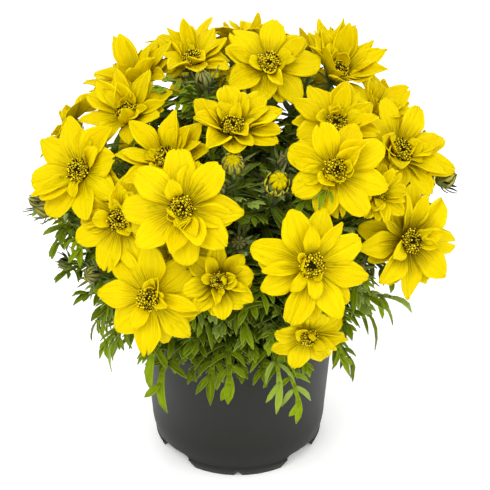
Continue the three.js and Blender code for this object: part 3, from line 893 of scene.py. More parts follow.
# Of each kind of petal: its root as a share of the ring and a height, then the bounds of its length,
# width, pitch, curl, sway and twist. The last three kinds aren't in the solids: a second row under the
# gaps of the first, narrow ones that stand up while a bloom opens, and short ones that lean over the eye.

petalHabits = {
    "outer": (0.97, 0, (0.92, 1.1), (0.25, 0.29), (-5, 5), (-26, 6), (-2, 2), (-14, 14)),
    "inner": (0.9, 1.2, (0.45, 0.72), (0.13, 0.19), (42, 62), (-70, -10), (-1.5, 1.5), (-10, 10)),
    "second": (0.8, -1.2, (0.82, 0.98), (0.7, 0.95), (0, -5), (-24, 6), (-2, 2), (-16, 16)),
    "standing": (0.92, 0.6, (0.7, 1.15), (0.12, 0.2), (0, 34), (-20, 20), (-2, 2), (-50, 50)),
    "leaning": (0.8, 1.6, (0.1, 0.22), (0.08, 0.14), (30, 80), (-60, 60), (-1, 1), (-30, 30)),
}


def drawPetal(kind, draw, ring, angle, length, width, pitch, widest=math.inf):
    rootOut, rootUp, lengths, widths, pitches, curls, sways, twists = petalHabits[kind]
    return {
        "angle": angle,
        "rootOut": ring * rootOut,
        "rootUp": rootUp,
        "length": length * draw(*lengths),
        "width": min(width * draw(*widths), widest),
        "pitch": pitch + draw(*pitches),
        "curl": draw(*curls),
        "sway": draw(*sways),
        "twist": draw(*twists),
        "bend": 0,
        "share": 1,
    }


def facingFrame(axis):
    across = up.cross(axis).normalized()
    return across, axis.cross(across)


def petalPlace(bloom, angle, out, rise, side):
    c = math.cos(math.radians(angle))
    s = math.sin(math.radians(angle))
    across = bloom["across"] * (out * c - side * s)
    over = bloom["over"] * (out * s + side * c)
    return bloom["eye"] + bloom["axis"] * rise + across + over


def makeBloom(entry, index):
    x, y, z, turn, rise, width, count, opened = entry
    draw = drawsFrom(index + 1)
    axis = heading(turn, rise)
    across, over = facingFrame(axis)
    size = min(width / 50, 1.1)
    ring = bloomSizes["hubRadius"] * size
    spin = draw(0, 360)
    angles = [spin + 360 / count * k + draw(-4, 4) for k in range(count)]
    between = [(angle + after) / 2 for angle, after in zip(angles, angles[1:] + [angles[0] + 360])]
    reach = width / 2 - ring
    long = reach / math.cos(math.radians(opened * 0.6))
    petals = []
    for k, angle in enumerate(angles):
        pitch = opened + (5 if k % 2 == 0 else -5)
        petal = drawPetal("outer", draw, ring, angle, long, width, pitch, bloomSizes["widest"])
        petal["width"] *= (8 / count) ** 0.5
        draw(1, 2.4)  # for the notch, which the solid petal alone has
        petals.append({**petal, "rows": bloomSizes["outerRows"], "tip": bloomSizes["outerTip"]})
    first = int(draw(0, count))
    inner = []
    for i in range(bloomSizes["innerPetals"]):
        angle = between[(first + i * count // bloomSizes["innerPetals"]) % count]
        petal = drawPetal("inner", draw, ring, angle, reach, width, opened * 0.5, bloomSizes["innerWidest"])
        inner.append({**petal, "rows": bloomSizes["innerRows"], "tip": 0})
    return {"index": index, "width": width, "open": opened, "axis": axis, "eye": Vector((x, y, z)),
            "across": across, "over": over, "size": size, "ring": ring, "between": between,
            "petals": petals, "inner": inner}


def widthShare(share):
    # a shortened petal is narrower too
    return 0.55 + 0.45 * share


def petalTip(bloom, petal, bend, share, way):
    # where a corner of the tip of the solid petal lies at this bend and share of its length
    out = petal["rootOut"]
    rise = petal["rootUp"]
    before = 0
    for along in petal["rows"]:
        length = petal["length"] * share * (along - before)
        pitch = math.radians(petal["pitch"] + bend + petal["curl"] * (along + before) / 2)
        out += length * math.cos(pitch)
        rise += length * math.sin(pitch)
        before = along
    half = petal["width"] * petal["tip"] * widthShare(share) / 2 * way
    roll = math.radians(petal["twist"])
    lean = math.radians(petal["pitch"] + bend + petal["curl"])
    lift = half * math.sin(roll)
    side = half * math.cos(roll) + petal["sway"]
    return petalPlace(bloom, petal["angle"], out - lift * math.sin(lean), rise + lift * math.cos(lean), side)


def findBends(bloom, name):
    # the bend of each petal of the solid bloom, and the share of its length that it has
    tree = nodePoints(name)
    for petal in bloom["petals"] + bloom["inner"]:
        best = (9, 0, 1)
        for share in bloomSizes["shares"]:
            for bend in bloomSizes["bends"]:
                gap = max(tree.find(petalTip(bloom, petal, bend, share, way))[2] for way in (-1, 1))
                if gap < best[0] - matching["closer"]:
                    best = (gap, bend, share)
        petal["gap"], petal["bend"], petal["share"] = best


def petalSurface(bloom, petal, look):
    # gives a point of the petal from its share across (-1 to 1) and along (0 to 1)
    length = petal["length"] * petal["share"]
    width = petal["width"] * widthShare(petal["share"]) * look["wide"]
    start = math.radians(petal["pitch"] + petal["bend"])
    curl = math.radians(petal["curl"])
    if abs(curl) < 0.001:
        curl = 0.001
    rooted = -bloomSizes["underEye"] / length

    def tipAt(s):
        edge = 1 - look["round"] * abs(s) ** 2.6
        for where, deep, wide in look["teeth"]:
            edge -= deep / length * max(1 - abs(s - where) / wide, 0)
        return edge

    def place(s, t):
        along = mixed(rooted, 1, t) * (tipAt(s) if t > 0.35 else 1)
        turned = start + curl * along
        out = petal["rootOut"] + length * (math.sin(turned) - math.sin(start)) / curl
        rise = petal["rootUp"] + length * (math.cos(start) - math.cos(turned)) / curl
        profile = mixed(look["neck"], 1, smooth(-0.12, 0.55, along))
        profile *= 1 - look["taper"] * smooth(0.48, 1.06, along)
        half = width / 2 * profile
        grow = smooth(0, 0.35, along)
        ending = smooth(0.7, 1, along)
        cup = look["cup"] * mixed(1, look["cupTip"], smooth(0.3, 1, along))
        ripple = math.sin(look["waves"] * along * math.pi + look["phase"] * s)
        above = cup * half * (s * s - 0.35) * grow
        above -= look["ridge"] * math.cos(math.pi * look["ridges"] * s) * grow * (1 - 0.5 * ending)
        above += look["wave"] * abs(s) ** 1.5 * ripple * grow
        above += look["fold"] * abs(s) * half * grow + look["layer"]
        roll = math.radians(petal["twist"]) * along
        lean = turned + math.radians(look["flick"]) * ending
        across = s * half
        side = across * math.cos(roll) - above * math.sin(roll) + petal["sway"] * along * along
        lift = across * math.sin(roll) + above * math.cos(roll)
        rise -= look["drop"] * ending
        out -= lift * math.sin(lean)
        rise += lift * math.cos(lean)
        return petalPlace(bloom, petal["angle"], out, rise, side)

    return place


def petalLook(draw, small, opened):
    # petals of blooms that are still opening are narrower and more pointed
    narrow = smooth(14, 34, opened)
    teeth = []
    if draw(0, 1) < 0.4:
        for where in (-0.45, 0, 0.45) if draw(0, 1) < 0.4 else (-0.25, 0.25):
            teeth.append((where + draw(-0.1, 0.1), draw(0.4, 1.6), draw(0.16, 0.26)))
    if draw(0, 1) < 0.12:
        teeth.append((draw(-0.3, 0.3), draw(3, 6), 0.2))
    look = {
        "wide": draw(1.0, 1.2) * (1 - narrow * 0.24),
        "taper": mixed(draw(0.32, 0.68), 0.78, narrow),
        "round": draw(0.12, 0.2),
        "teeth": [] if small else teeth,
        "neck": draw(0.32, 0.44),
        "cup": draw(0.1, 0.42),
        "cupTip": draw(-0.5, 1),
        "ridge": draw(0.25, 0.65),
        "ridges": 3 if draw(0, 1) < 0.5 else 4,
        "wave": draw(0.2, 0.8),
        "waves": draw(1.5, 3),
        "phase": draw(-3, 3),
        "fold": draw(0.1, 0.7) if draw(0, 1) < 0.3 else 0,
        "flick": draw(-25, 20),
        "drop": draw(-0.6, 1.2),
        "layer": draw(-0.4, 0.4),
    }
    if small:
        look["round"] = draw(0.2, 0.34)
        look["neck"] = draw(0.5, 0.7)
        look["ridge"] = 0.1
        look["cup"] = draw(0.2, 0.8)
    return look


def addPetal(bm, bloom, petal, grid, draw, tones):
    small = grid != "broad"
    look = petalLook(draw, small, 0 if small else bloom["open"])
    addSheet(bm, *bloomSizes["grids"][grid], petalSurface(bloom, petal, look), draw(*tones))


def addPetals(bm, bloom):
    draw = drawsFrom(seeds["petals"] + bloom["index"])
    petals, ring, width, opened = bloom["petals"], bloom["ring"], bloom["width"], bloom["open"]
    for petal in petals:
        addPetal(bm, bloom, petal, "broad", draw, (0, 1))
    for petal in bloom["inner"]:
        addPetal(bm, bloom, petal, "short", draw, (0, 0.7))
    for angle, host, other in zip(bloom["between"], petals, petals[1:] + petals[:1]):
        if draw(0, 1) < bloomSizes["secondRow"]:
            length = mixed(host["length"], other["length"], 0.5)
            pitch = min(host["pitch"] + host["bend"], other["pitch"] + other["bend"])
            petal = drawPetal("second", draw, ring, angle + draw(-5, 5), length, host["width"], pitch)
            petal["share"] = min(host["share"], other["share"])
            addPetal(bm, bloom, petal, "broad", draw, (0.1, 1))
    for _ in range(int(opened / 4)):
        petal = drawPetal("standing", draw, ring, draw(0, 360), width / 2 - ring, width, opened)
        addPetal(bm, bloom, petal, "standing", draw, (0, 0.7))
    leaning = int(draw(2, 6))
    middle = draw(0, 360)
    for _ in range(leaning):
        angle = middle + draw(-80, 80)
        petal = drawPetal("leaning", draw, ring, angle, width, width, opened * 0.5)
        addPetal(bm, bloom, petal, "short", draw, (0, 0.6))


# Eyes: a dome of small florets, each a yellow tube with a dark tip and a golden dot on most

eye = {
    "radius": 0.8,  # shares of the ring and of the height of the solid eye
    "height": 0.62,
    "under": 2,
    "florets": 60,
    "golden": 137.5,
    "young": 0.35,  # florets nearer the middle than this haven't opened
    "tube": (0.42, 0.58, 1.7),  # radius below and above, and length
    "tip": (0.36, 0.22, 1.5),
    "sunk": 0.3,
    "dot": 0.44,
}


def addFloret(bm, at, size, young, draw):
    low, high, deep = (value * size for value in eye["tube"])
    length = deep * (0.6 if young else draw(0.85, 1.2))
    top = length - eye["sunk"]
    tube = bmesh.ops.create_cone(
        bm, cap_ends=True, segments=5, radius1=low, radius2=high, depth=length,
        matrix=at(length / 2 - eye["sunk"]),
    )
    mark(bm, tube["verts"], "tint", 0.42 if young else draw(0.66, 1))
    low, high, deep = (value * size for value in eye["tip"])
    tip = bmesh.ops.create_cone(
        bm, cap_ends=True, segments=5, radius1=low, radius2=high, depth=deep, matrix=at(top + deep / 2),
    )
    mark(bm, tip["verts"], "tint", draw(0, 0.25))
    if draw(0, 1) < (0.3 if young else 0.7):
        radius = eye["dot"] * size * draw(0.8, 1.25)
        dot = bmesh.ops.create_icosphere(bm, subdivisions=1, radius=radius, matrix=at(top + deep))
        mark(bm, dot["verts"], "tint", draw(0.72, 1))


def addEye(eyes, bloom):
    bm = newSurface()
    draw = drawsFrom(seeds["eyes"] + bloom["index"])
    size = bloom["size"]
    radius = bloom["ring"] * eye["radius"]
    tall = bloomSizes["eyeHeight"] * size * eye["height"]
    facing = Matrix((bloom["across"], bloom["over"], bloom["axis"])).transposed().to_4x4()
    facing.translation = bloom["eye"]
    dome = bmesh.ops.create_uvsphere(bm, u_segments=20, v_segments=10, radius=1)
    for vert in dome["verts"]:
        x, y, z = vert.co
        vert.co = facing @ Vector((x * radius, y * radius, z * (tall if z > 0 else eye["under"])))
    mark(bm, dome["verts"], "tint", 0.3)
    for k in range(eye["florets"]):
        out = ((k + 0.5) / eye["florets"]) ** 0.5
        angle = math.radians(k * eye["golden"])
        spot = Vector((math.cos(angle) * out * radius, math.sin(angle) * out * radius,
                       tall * (1 - out * out) ** 0.5))
        lean = Vector((spot.x * 0.5, spot.y * 0.5, radius * 0.75)).normalized()
        lean = (lean + Vector((draw(-0.12, 0.12), draw(-0.12, 0.12), 0))).normalized()
        turned = up.rotation_difference(lean).to_matrix().to_4x4()

        def at(height, spot=spot, lean=lean, turned=turned):
            return facing @ Matrix.Translation(spot + lean * height) @ turned

        addFloret(bm, at, size, out < eye["young"], draw)
    absorb(eyes, bm)


# Leaves

leafSizes = {
    "cuts": [0, 0.34, 0.5, 0.65, 0.8, 1],
    "reach": [0.33, 0.29, 0.22],
    "drop": 0.12,
    "bends": [0, 10, -10, 20, -20, 32, -32, 45, -45],
    "swings": [0, 9, -9, 18, -18],
    "thick": 0.4,
    "grid": (2, 4),
    "wide": (2.7, 3.5),  # width of the leaflets of a short and of a long leaf
    "threePairs": 0.75,
    "stalkFrom": 0.42,  # the first leaf of a stalk stands this far along it
    "stalkStep": 0.3,
}

# Of each kind of leaf, the bounds of its share along the stem or stalk, its turn from that, its pitch,
# droop, length and spread. The last two kinds aren't in the solids, and "overRim" is for outer stems.

leafHabits = {
    "low": ((0.5, 0.64), (4, 11), (6, 22), (70, 105), (52, 62), (40, 56)),
    "high": ((0.8, 0.97), (10, 30), (0, 30), (20, 60), (44, 58), (40, 56)),
    "inner": ((0.7, 0.97), (20, 60), (30, 60), (10, 50), (40, 52), (40, 56)),
    "onStalk": ((-0.08, 0.08), (30, 75), (5, 50), (0, 50), (34, 46), (40, 56)),
    "anywhere": ((0.3, 0.95), (-110, 110), (-10, 55), (10, 90), (26, 46), (36, 54)),
    "overRim": ((0.1, 0.75), (-60, 60), (5, 45), (10, 90), (26, 46), (36, 54)),
}


def placeOn(route, share):
    reach = share * (len(route) - 1)
    start = min(int(reach), len(route) - 2)
    return route[start].lerp(route[start + 1], reach - start)


def leafStations(leaf, bend, swing):
    # places along the rib, each with its direction and the way that the upper face looks
    turn = leaf["turn"] + swing
    side = up.cross(heading(turn, 0)).normalized()
    centre = leaf["root"].copy()
    stations = []
    before = 0
    for along in leafSizes["cuts"]:
        onward = heading(turn, leaf["pitch"] + bend - leaf["droop"] * (along + before) / 2)
        centre = centre + onward * leaf["length"] * (along - before)
        direction = heading(turn, leaf["pitch"] + bend - leaf["droop"] * along)
        stations.append((centre, direction, direction.cross(side)))
        before = along
    return stations, side


def addBlade(bm, root, direction, face, length, width, look, tone, kind=leafKind):
    # a narrow blade with its widest place at look's "belly", curved along and creased at its rib
    side = direction.cross(face).normalized()
    arc = math.radians(look["arc"])
    if abs(arc) < 0.01:
        arc = 0.01
    belly = look["belly"]
    bow = look.get("bow", 0)

    def place(s, t):
        turned = arc * t
        onward = direction * (length * math.sin(turned) / arc)
        centre = root + onward - face * (length * (1 - math.cos(turned)) / arc)
        lifted = face * math.cos(turned) + direction * math.sin(turned)
        if t < belly:
            half = mixed(look["base"], 1, math.sin(t / belly * math.pi / 2))
        else:
            half = math.cos((t - belly) / (1 - belly) * math.pi / 2)
        half = max(half, 0.05) * width / 2
        bowed = side * (bow * length * t * t)
        return centre + bowed + side * (s * half) + lifted * (look["crease"] * abs(s) * half)

    addSheet(bm, *leafSizes["grid"], place, tone, kind)


def leafLook(draw):
    return {"arc": draw(10, 45), "base": draw(0.3, 0.55), "belly": draw(0.45, 0.68),
            "crease": draw(0.2, 0.7), "bow": draw(-0.26, 0.26)}


def addLeaf(stem, leaf, bend, swing, draw):
    bm = newSurface()
    stations, side = leafStations(leaf, bend, swing)
    length = leaf["length"]
    # a leaf deeper in the plant gets a lower tone and so a darker green: painted shade
    tone = draw(0.25, 1.08) * (1 - smooth(0.35, 0.8, canopyDepth(stations[3][0])) * 0.5)
    wide = mixed(*leafSizes["wide"], smooth(34, 60, length)) * draw(0.85, 1.15)
    pairs = 3 if draw(0, 1) < leafSizes["threePairs"] else 2
    addRachis(bm, stations[:pairs + 3], tone, wide * 0.3)
    for i in range(pairs):
        centre, direction, face = stations[i + 1]
        after = stations[i + 2][0]
        for way in (-1, 1):
            root = centre.lerp(after, draw(0, 0.5))
            middle = centre.lerp(after, 0.5)
            spread = math.radians(min(leaf["spread"] * draw(1.3, 2), 108))
            reach = leafSizes["reach"][i] * draw(0.66, 0.98)
            tip = middle + (direction * math.cos(spread) + side * way * math.sin(spread)) * length * reach
            tip -= face * leafSizes["drop"] * length * reach
            bow = way * draw(0.1, 0.45)
            lobes = draw(0, 2) if i == 0 else 0
            addLeaflet(bm, root, tip, face, wide, tone, draw, lobes, bow)
    centre, direction, face = stations[pairs + 1]
    end = stations[5][0] + direction * length * 0.03
    lobes = draw(0.4, 2.9)
    addLeaflet(bm, centre - direction * 2, end, face, wide * 1.5, tone, draw, lobes, draw(-0.15, 0.15))
    absorb(stem, bm)


def addRachis(bm, stations, tone, wing):
    # the stalk of a leaf, and its rib with a narrow wing past the first leaflets
    for i, ((root, _, face), (end, _, _)) in enumerate(zip(stations, stations[1:-1])):
        along = end - root
        direction = along.normalized()
        square = squareTo(direction, face)
        side = direction.cross(square)
        half = wing if i else 0.6

        def place(s, t, root=root, along=along, side=side, square=square, half=half):
            return root + along * (t * 1.06 - 0.03) + side * (s * half) + square * (abs(s) * half * 0.5)

        addSheet(bm, 2, 1, place, tone, leafKind if i else stemKind)


def addLeaflet(bm, root, tip, face, wide, tone, draw, lobes, bow):
    # a leaflet, with a lobe on one or both sides of its rib where lobes is 1 or 2
    along = tip - root
    length = along.length
    direction = along.normalized()
    square = squareTo(direction, face)
    side = direction.cross(square)
    shade = min(max(tone + draw(-0.15, 0.15), 0), 1)
    look = leafLook(draw)
    look["bow"] = bow
    addBlade(bm, root, direction, square, length * 1.04, wide * draw(0.85, 1.1), look, shade)
    for i in range(int(lobes)):
        way = 1 if i % 2 == 0 else -1
        start = root + along * draw(0.15, 0.4)
        spread = math.radians(draw(26, 44))
        outward = direction * math.cos(spread) + side * way * math.sin(spread)
        outward = (outward + square * draw(-0.15, 0.15)).normalized()
        reach = min(length * draw(0.5, 0.75), 14)
        width = wide * draw(0.62, 0.86)
        addBlade(bm, start, outward, squareTo(outward, square), reach, width, leafLook(draw), shade)


def drawLeaf(kind, draw, route, turn=None, way=1, share=0):
    # a leaf that turns from the given turn, or from where its root stands if there is none
    shares, turns, pitches, droops, lengths, spreads = leafHabits[kind]
    root = placeOn(route, share + draw(*shares))
    return {
        "root": root,
        "turn": (turnOf(root) if turn is None else turn) + way * draw(*turns),
        "pitch": draw(*pitches),
        "droop": draw(*droops),
        "length": draw(*lengths),
        "spread": draw(*spreads),
    }


def leavesOf(stem, trunk, stalks, index):
    # the leaves that the solid stem has too
    draw = drawsFrom(seeds["leaves"] + index)
    turn, fork, _, count, blooms, _ = stem
    outer = fork == "outerFork"
    leaves = []
    for i in range(count):
        kind = "low" if outer and i < 2 else "high" if outer else "inner"
        leaves.append(drawLeaf(kind, draw, trunk, turn, -1 if i % 2 == 0 else 1))
    for order, route in enumerate(stalks):
        for i in range(2 if order < len(blooms) else 1):
            way = -1 if (order + i) % 2 == 0 else 1
            share = leafSizes["stalkFrom"] + leafSizes["stalkStep"] * i
            leaves.append(drawLeaf("onStalk", draw, route, turnOf(route[-1]), way, share))
    return leaves


def findLeaf(tree, leaf):
    # how the leaf of the solid stem is bent and swung, and how near its tip then lies
    best = (9, 0, 0)
    for swing in leafSizes["swings"]:
        for bend in leafSizes["bends"]:
            stations, _ = leafStations(leaf, bend, swing)
            gap = tree.find(stations[-1][0])[2]
            if gap < best[0] - matching["closer"]:
                best = (gap, bend, swing)
    return best


# The canopy: half its size each way, the height of its middle, and the room that leaves keep free over
# the rim, past it, inside it and over the soil, and round, behind and before a bloom

canopy = {
    "halves": (116, 110, 84),
    "middle": 160,
    "overRim": 1,
    "pastRim": 2.5,
    "inRim": 4,
    "overSoil": 1.5,
    "roundBloom": 1,
    "behindBloom": 3.5,
    "beforeBloom": 40,
}


def canopyDepth(point):
    # 0 at the surface of the plant, 1 in its middle
    wide, deep, high = canopy["halves"]
    x, y, z = point.x / wide, point.y / deep, (point.z - canopy["middle"]) / high
    return 1 - min(math.sqrt(x * x + y * y + z * z), 1)


def inTheWay(point, blooms):
    # a leaf may not stand in front of a bloom or cross its petals, nor reach into the pot
    level = math.hypot(point.x, point.y)
    if point.z < pot["height"] + canopy["overRim"] and level < pot["rimRadius"] + canopy["pastRim"]:
        return level > pot["rimRadius"] - canopy["inRim"] or point.z < soil["crown"] + canopy["overSoil"]
    for bloom in blooms:
        offset = point - bloom["eye"]
        along = offset.dot(bloom["axis"])
        out = (offset - bloom["axis"] * along).length
        rise = out * math.tan(math.radians(bloom["open"] * 0.8))
        within = out < bloom["width"] * 0.5 + canopy["roundBloom"]
        if within and -canopy["behindBloom"] < along - rise < canopy["beforeBloom"]:
            return True
    return False


core = {"leaves": 130, "tries": 5, "length": (14, 30), "width": (3.4, 5.6), "depth": 0.14}


def coreLeaves(stem, routes, blooms, index):
    # plain leaflets that fill the middle of the plant, darker: painted shade deep inside it
    draw = drawsFrom(seeds["core"] + index)
    bm = newSurface()
    for _ in range(core["leaves"]):
        look = leafLook(draw)
        # a low tone, painted shade in the middle of the plant
        tone = draw(-0.1, 0.5)
        width = draw(*core["width"])
        for _ in range(core["tries"]):
            root = placeOn(routes[int(draw(0, len(routes)))], draw(0.1, 0.92))
            onward = heading(draw(0, 360), draw(-35, 60))
            reach = onward * draw(*core["length"])
            blocked = inTheWay(root + reach, blooms) or inTheWay(root + reach * 0.5, blooms)
            if canopyDepth(root + reach) > core["depth"] and not blocked:
                addBlade(bm, root, onward, squareTo(onward, up), reach.length, width, look, tone)
                break
    absorb(stem, bm)


filler = {"anywhere": (15, 6), "overRim": (12, 14)}  # leaves, and tries to find a place for each


def hasRoom(leaf, blooms):
    stations, side = leafStations(leaf, 0, 0)
    reach = leaf["length"] * 0.26
    near, middle, end = stations[2][0], stations[3][0], stations[5][0]
    probes = [middle, end, near + side * reach, near - side * reach]
    return canopyDepth(end) > 0 and not any(inTheWay(point, blooms) for point in probes)


def fillerLeaves(bm, routes, blooms, index, outer):
    # further cut leaves on any route, and on an outer stem's trunk over the rim of the pot too
    draw = drawsFrom(seeds["filler"] + index)
    grown = 0
    for kind in ("anywhere", "overRim") if outer else ("anywhere",):
        count, tries = filler[kind]
        for _ in range(count):
            for _ in range(tries):
                route = routes[0] if kind == "overRim" else routes[int(draw(0, len(routes)))]
                leaf = drawLeaf(kind, draw, route)
                if hasRoom(leaf, blooms):
                    addLeaf(bm, leaf, 0, 0, draw)
                    grown += 1
                    break
    return grown


# Small leaves round the stalk of each bud, and leaves that end at a given place (x, y, z), by stem

nest = {"leaves": 16, "length": (8, 19), "width": (1.9, 3.2)}

leafEnds = {
    6: [(13, -80, 198), (1, -82, 201), (-6, -84, 194)],
    7: [(43, -92, 206), (7, -78, 207), (30, -86, 196), (2, -86, 190)],
    8: [(-38, -25, 245), (-44, -26, 239), (-40, -30, 231),
        (-34, -30, 226), (-26, -24, 240), (-22, -28, 231)],
    1: [(-83, -60, 104), (-71, -62, 92), (-78, -62, 112),
        (-45, -56, 80), (-58, -50, 84), (-36, -62, 84)],
    2: [(-28, -70, 82), (-12, -73, 80), (4, -72, 84), (-20, -68, 92)],
    3: [(14, -72, 82), (32, -68, 84), (24, -70, 92), (42, -62, 82)],
    17: [(-104, -30, 139), (-112, -28, 166), (-100, -40, 130), (-98, -34, 152)],
}
ended = {"reach": 32, "pitch": 12, "droop": 24, "onTrunk": 6}  # stems below onTrunk grow them low too


def nestLeaves(bm, stalks, blooms, draw):
    for stalk in stalks:
        for _ in range(nest["leaves"]):
            look = leafLook(draw)
            tone = draw(0.6, 1.2)
            root = placeOn(stalk, draw(0.45, 0.97))
            onward = heading(draw(0, 360), draw(0, 70))
            reach = onward * draw(*nest["length"])
            if not inTheWay(root + reach, blooms):
                width = draw(*nest["width"])
                addBlade(bm, root, onward, squareTo(onward, up), reach.length, width, look, tone)


def leafTo(bm, routes, end, draw):
    roots = [placeOn(route, share / 12) for route in routes for share in range(5, 12)]
    root = min(roots, key=lambda spot: abs((end - spot).length - ended["reach"]))
    line = end - root
    pitch = math.degrees(math.asin(line.z / line.length)) + ended["pitch"]
    leaf = {"root": root, "turn": turnOf(line), "pitch": pitch, "droop": ended["droop"],
            "length": line.length, "spread": draw(36, 50)}
    addLeaf(bm, leaf, 0, 0, draw)


# Buds and the green cups behind the blooms. A look is that of a blade, and some have their arc drawn.

cups = {
    "scales": 8,
    "scaleSize": (8.2, 3.4),
    "scaleLook": {"arc": 34, "base": 0.6, "belly": 0.45, "crease": -0.3},
    "bracts": 8,
    "bractLength": 8.5,
    "bractWidth": 1.5,
    "bractLook": {"base": 0.6, "belly": 0.4, "crease": 0.4},
}

buds = {
    "open": {(20, -82, 209): 0.9, (-2, -77, 218): 0.35},  # how far these have opened, by their middles
    "scales": 9,
    "scaleLook": {"base": 0.5, "belly": 0.5, "crease": -0.5},
    "bracts": 12,
    "bractLength": (5, 10.5),
    "bractWidth": (1.2, 1.9),
    "bractLook": {"base": 0.8, "belly": 0.35, "crease": 0.4},
    "petals": 8,
    "petalLook": {"arc": 150, "base": 0.8, "belly": 0.5, "crease": -0.3},
}


def fannedOut(across, over, count, sway, draw, ahead=0):
    # directions all round, each a little off its place
    for k in range(count):
        angle = math.radians(360 / count * (k + ahead) + draw(-sway, sway))
        yield across * math.cos(angle) + over * math.sin(angle)


def cupFoot(bloom):
    top = bloom["eye"] - bloom["axis"] * (bloomSizes["hubDrop"] + soil["seam"])
    return top - bloom["axis"] * plant["calyxHeight"]


def addCup(bm, bloom, draw):
    axis, across, over = bloom["axis"], bloom["across"], bloom["over"]
    foot = cupFoot(bloom)
    for outward in fannedOut(across, over, cups["scales"], 4, draw):
        root = foot + axis * 1.6 + outward * 1.5
        aim = (axis * 1.0 + outward * 0.42).normalized()
        face = squareTo(aim, outward)
        addBlade(bm, root, aim, face, *cups["scaleSize"], cups["scaleLook"], draw(0.2, 0.8), scaleKind)
    for outward in fannedOut(across, over, cups["bracts"], 8, draw, 0.5):
        root = foot + axis * 1.4 + outward * 1.2
        aim = (axis * draw(0.1, 0.6) + outward).normalized()
        look = {"arc": draw(-30, 60), **cups["bractLook"]}
        length = cups["bractLength"] * draw(0.8, 1.15)
        tone = draw(0.2, 0.8)
        addBlade(bm, root, aim, squareTo(aim, axis), length, cups["bractWidth"], look, tone, bractKind)


def addBud(bm, middle, axis, size, opened, draw):
    across, over = facingFrame(axis)
    for outward in fannedOut(across, over, buds["scales"], 4, draw):
        root = middle - axis * size * 0.93 + outward * size * 0.3
        aim = (axis * 0.34 + outward * 0.94).normalized()
        look = {"arc": 148 - 50 * opened + draw(-8, 4), **buds["scaleLook"]}
        length = size * mixed(2.7, 2.3, opened) * draw(0.92, 1.04)
        tone = draw(0, 0.3) + (size - 4) * 0.22 + opened * 0.3
        addBlade(bm, root, aim, squareTo(aim, outward), length, size * 0.78, look, tone, scaleKind)
    for outward in fannedOut(across, over, buds["bracts"], 12, draw):
        root = middle - axis * size * draw(-0.1, 0.9) + outward * size * draw(0.7, 0.9)
        aim = (axis * draw(0.1, 1.6) + outward).normalized()
        look = {"arc": draw(-60, 40), **buds["bractLook"]}
        length = draw(*buds["bractLength"])
        width = draw(*buds["bractWidth"])
        addBlade(bm, root, aim, squareTo(aim, axis), length, width, look, draw(0, 0.8), bractKind)
    for outward in fannedOut(across, over, buds["petals"] if opened else 0, 5, draw):
        root = middle + axis * size * 0.42 + outward * size * 0.7
        aim = (axis + outward * 0.75 * opened).normalized()
        face = squareTo(aim, outward)
        length = size * mixed(0.9, 1.9, opened)
        addBlade(bm, root, aim, face, length, size * 0.44, buds["petalLook"], draw(0, 0.4), petalKind)


def addBudBody(bm, middle, axis, size, opened):
    turned = up.rotation_difference(axis).to_matrix().to_4x4()
    made = bmesh.ops.create_uvsphere(
        bm, u_segments=18, v_segments=10, radius=size * (0.8 if opened else 0.88),
        matrix=Matrix.Translation(middle) @ turned,
    )
    setKind(made["verts"], bractKind)
    mark(bm, made["verts"], "tone", 0.6)


# Build

addCamera()
lightWorld()
for name, light in studio["lights"].items():
    addSoftLight(name, *light)
addFloor(floorPaint())
bpy.context.scene.view_settings.view_transform = "Standard"
print("studio set")

petalMaterial = petalPaint()
foliage = [leafPaint(), stemPaint(), scalePaint(), bractPaint(), petalMaterial]
eyeMaterial = eyePaint()

finishPiece("grow_pot", makePot(), [potPaint()], ["pot"])
print("pot made")
finishPiece("potting_soil", makeSoil(), [soilPaint()], ["soil"])
print("soil made")

blooms = []
bloomsOf = []
for stem in plant["stems"]:
    own = [makeBloom(entry, len(blooms) + i) for i, entry in enumerate(stem[4])]
    blooms += own
    bloomsOf.append(own)

worst = 0
for bloom in blooms:
    findBends(bloom, f"bloom_{bloom['index'] + 1:02d}")
    worst = max(worst, *(petal["gap"] for petal in bloom["petals"] + bloom["inner"]))
print(f"petals matched to the frame within {worst:.3f} mm")


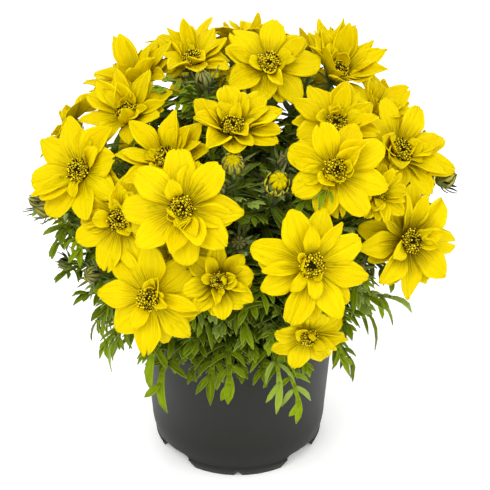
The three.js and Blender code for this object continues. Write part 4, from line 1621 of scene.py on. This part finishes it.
def makeStem(index, stem, own):
    # a leafy stem with its stalks, leaves, cups and buds
    turn, fork, out = stem[:3]
    path = stemPath(turn, fork, out)
    name = f"leafy_stem_{index + 1:02d}"
    tree = nodePoints(name)
    draw = drawsFrom(seeds["stems"] + index)
    bm = newSurface()
    trunk = [stemPoint(path, t) for t in (0, 0.35, 0.7, 1)]
    ends = [(cupFoot(bloom), bloom["axis"], (0, 0.3, 0.62)) for bloom in own]
    ownBuds = []
    for x, y, z, size in stem[5]:
        middle = Vector((x, y, z))
        axis = (middle - up * plant["budLook"]).normalized()
        ownBuds.append((middle, axis, size, buds["open"].get((x, y, z), 0)))
        ends.append((middle - axis * size * 1.2, axis, (0, 0.45)))
    stalks = []
    for order, (end, axis, shares) in enumerate(ends):
        stalks.append([stalkPoint(path, order, end, axis, t) for t in shares] + [end])
    routes = [trunk] + stalks
    missed = 0
    for leaf in leavesOf(stem, trunk, stalks, index):
        gap, bend, swing = findLeaf(tree, leaf)
        if gap < matching["leafGap"]:
            addLeaf(bm, leaf, bend, swing, draw)
        else:
            missed += 1
    grown = fillerLeaves(bm, routes, blooms, index, fork == "outerFork")
    coreLeaves(bm, routes, blooms, index)
    nestLeaves(bm, stalks[len(own):], blooms, draw)
    for end in leafEnds.get(index, []):
        leafTo(bm, routes if index < ended["onTrunk"] else stalks, Vector(end), draw)
    for bloom in own:
        addCup(bm, bloom, draw)
    for bud in ownBuds:
        addBud(bm, *bud, draw)
    thicken(bm, leafSizes["thick"])
    addTube(bm, [stemPoint(path, t / 8) for t in range(9)],
            [mixed(*plant["trunkRadii"], t / 8) for t in range(9)])
    for order, (end, axis, _) in enumerate(ends):
        points = [stalkPoint(path, order, end, axis, t / 12) for t in range(13)]
        radii = [plant["stalkRadius"]] * 13
        if order < len(own):
            points += [end + axis * 1.5, end + axis * 3.5, end + axis * plant["calyxHeight"]]
            radii += [1.9, 2.9, plant["calyxRadius"]]
        addTube(bm, points, radii)
    for bud in ownBuds:
        addBudBody(bm, *bud)
    finishPiece(f"leafy_{index + 1:02d}", bm, foliage, [name])
    print(f"{name} made, {grown} extra leaves, {missed} left out")


for index, stem in enumerate(plant["stems"]):
    makeStem(index, stem, bloomsOf[index])

eyes = newSurface()
for bloom in blooms:
    bm = newSurface()
    addPetals(bm, bloom)
    darkBase = bloomSizes["darkBases"].get(bloom["index"], bloom["index"] % 3 * bloomSizes["darkStep"])
    mark(bm, bm.verts, "tint", darkBase)
    thicken(bm, bloomSizes["petalThick"])
    number = f"{bloom['index'] + 1:02d}"
    finishPiece(f"petals_{number}", bm, [petalMaterial], [f"bloom_{number}"])
    addEye(eyes, bloom)
finishPiece("eyes", eyes, [eyeMaterial])
print("blooms made")

triangles = 0
for item in bpy.context.scene.objects:
    if item.type == "MESH" and not item.hide_render:
        item.data.calc_loop_triangles()
        triangles += len(item.data.loop_triangles)
print(f"{triangles} triangles in all")
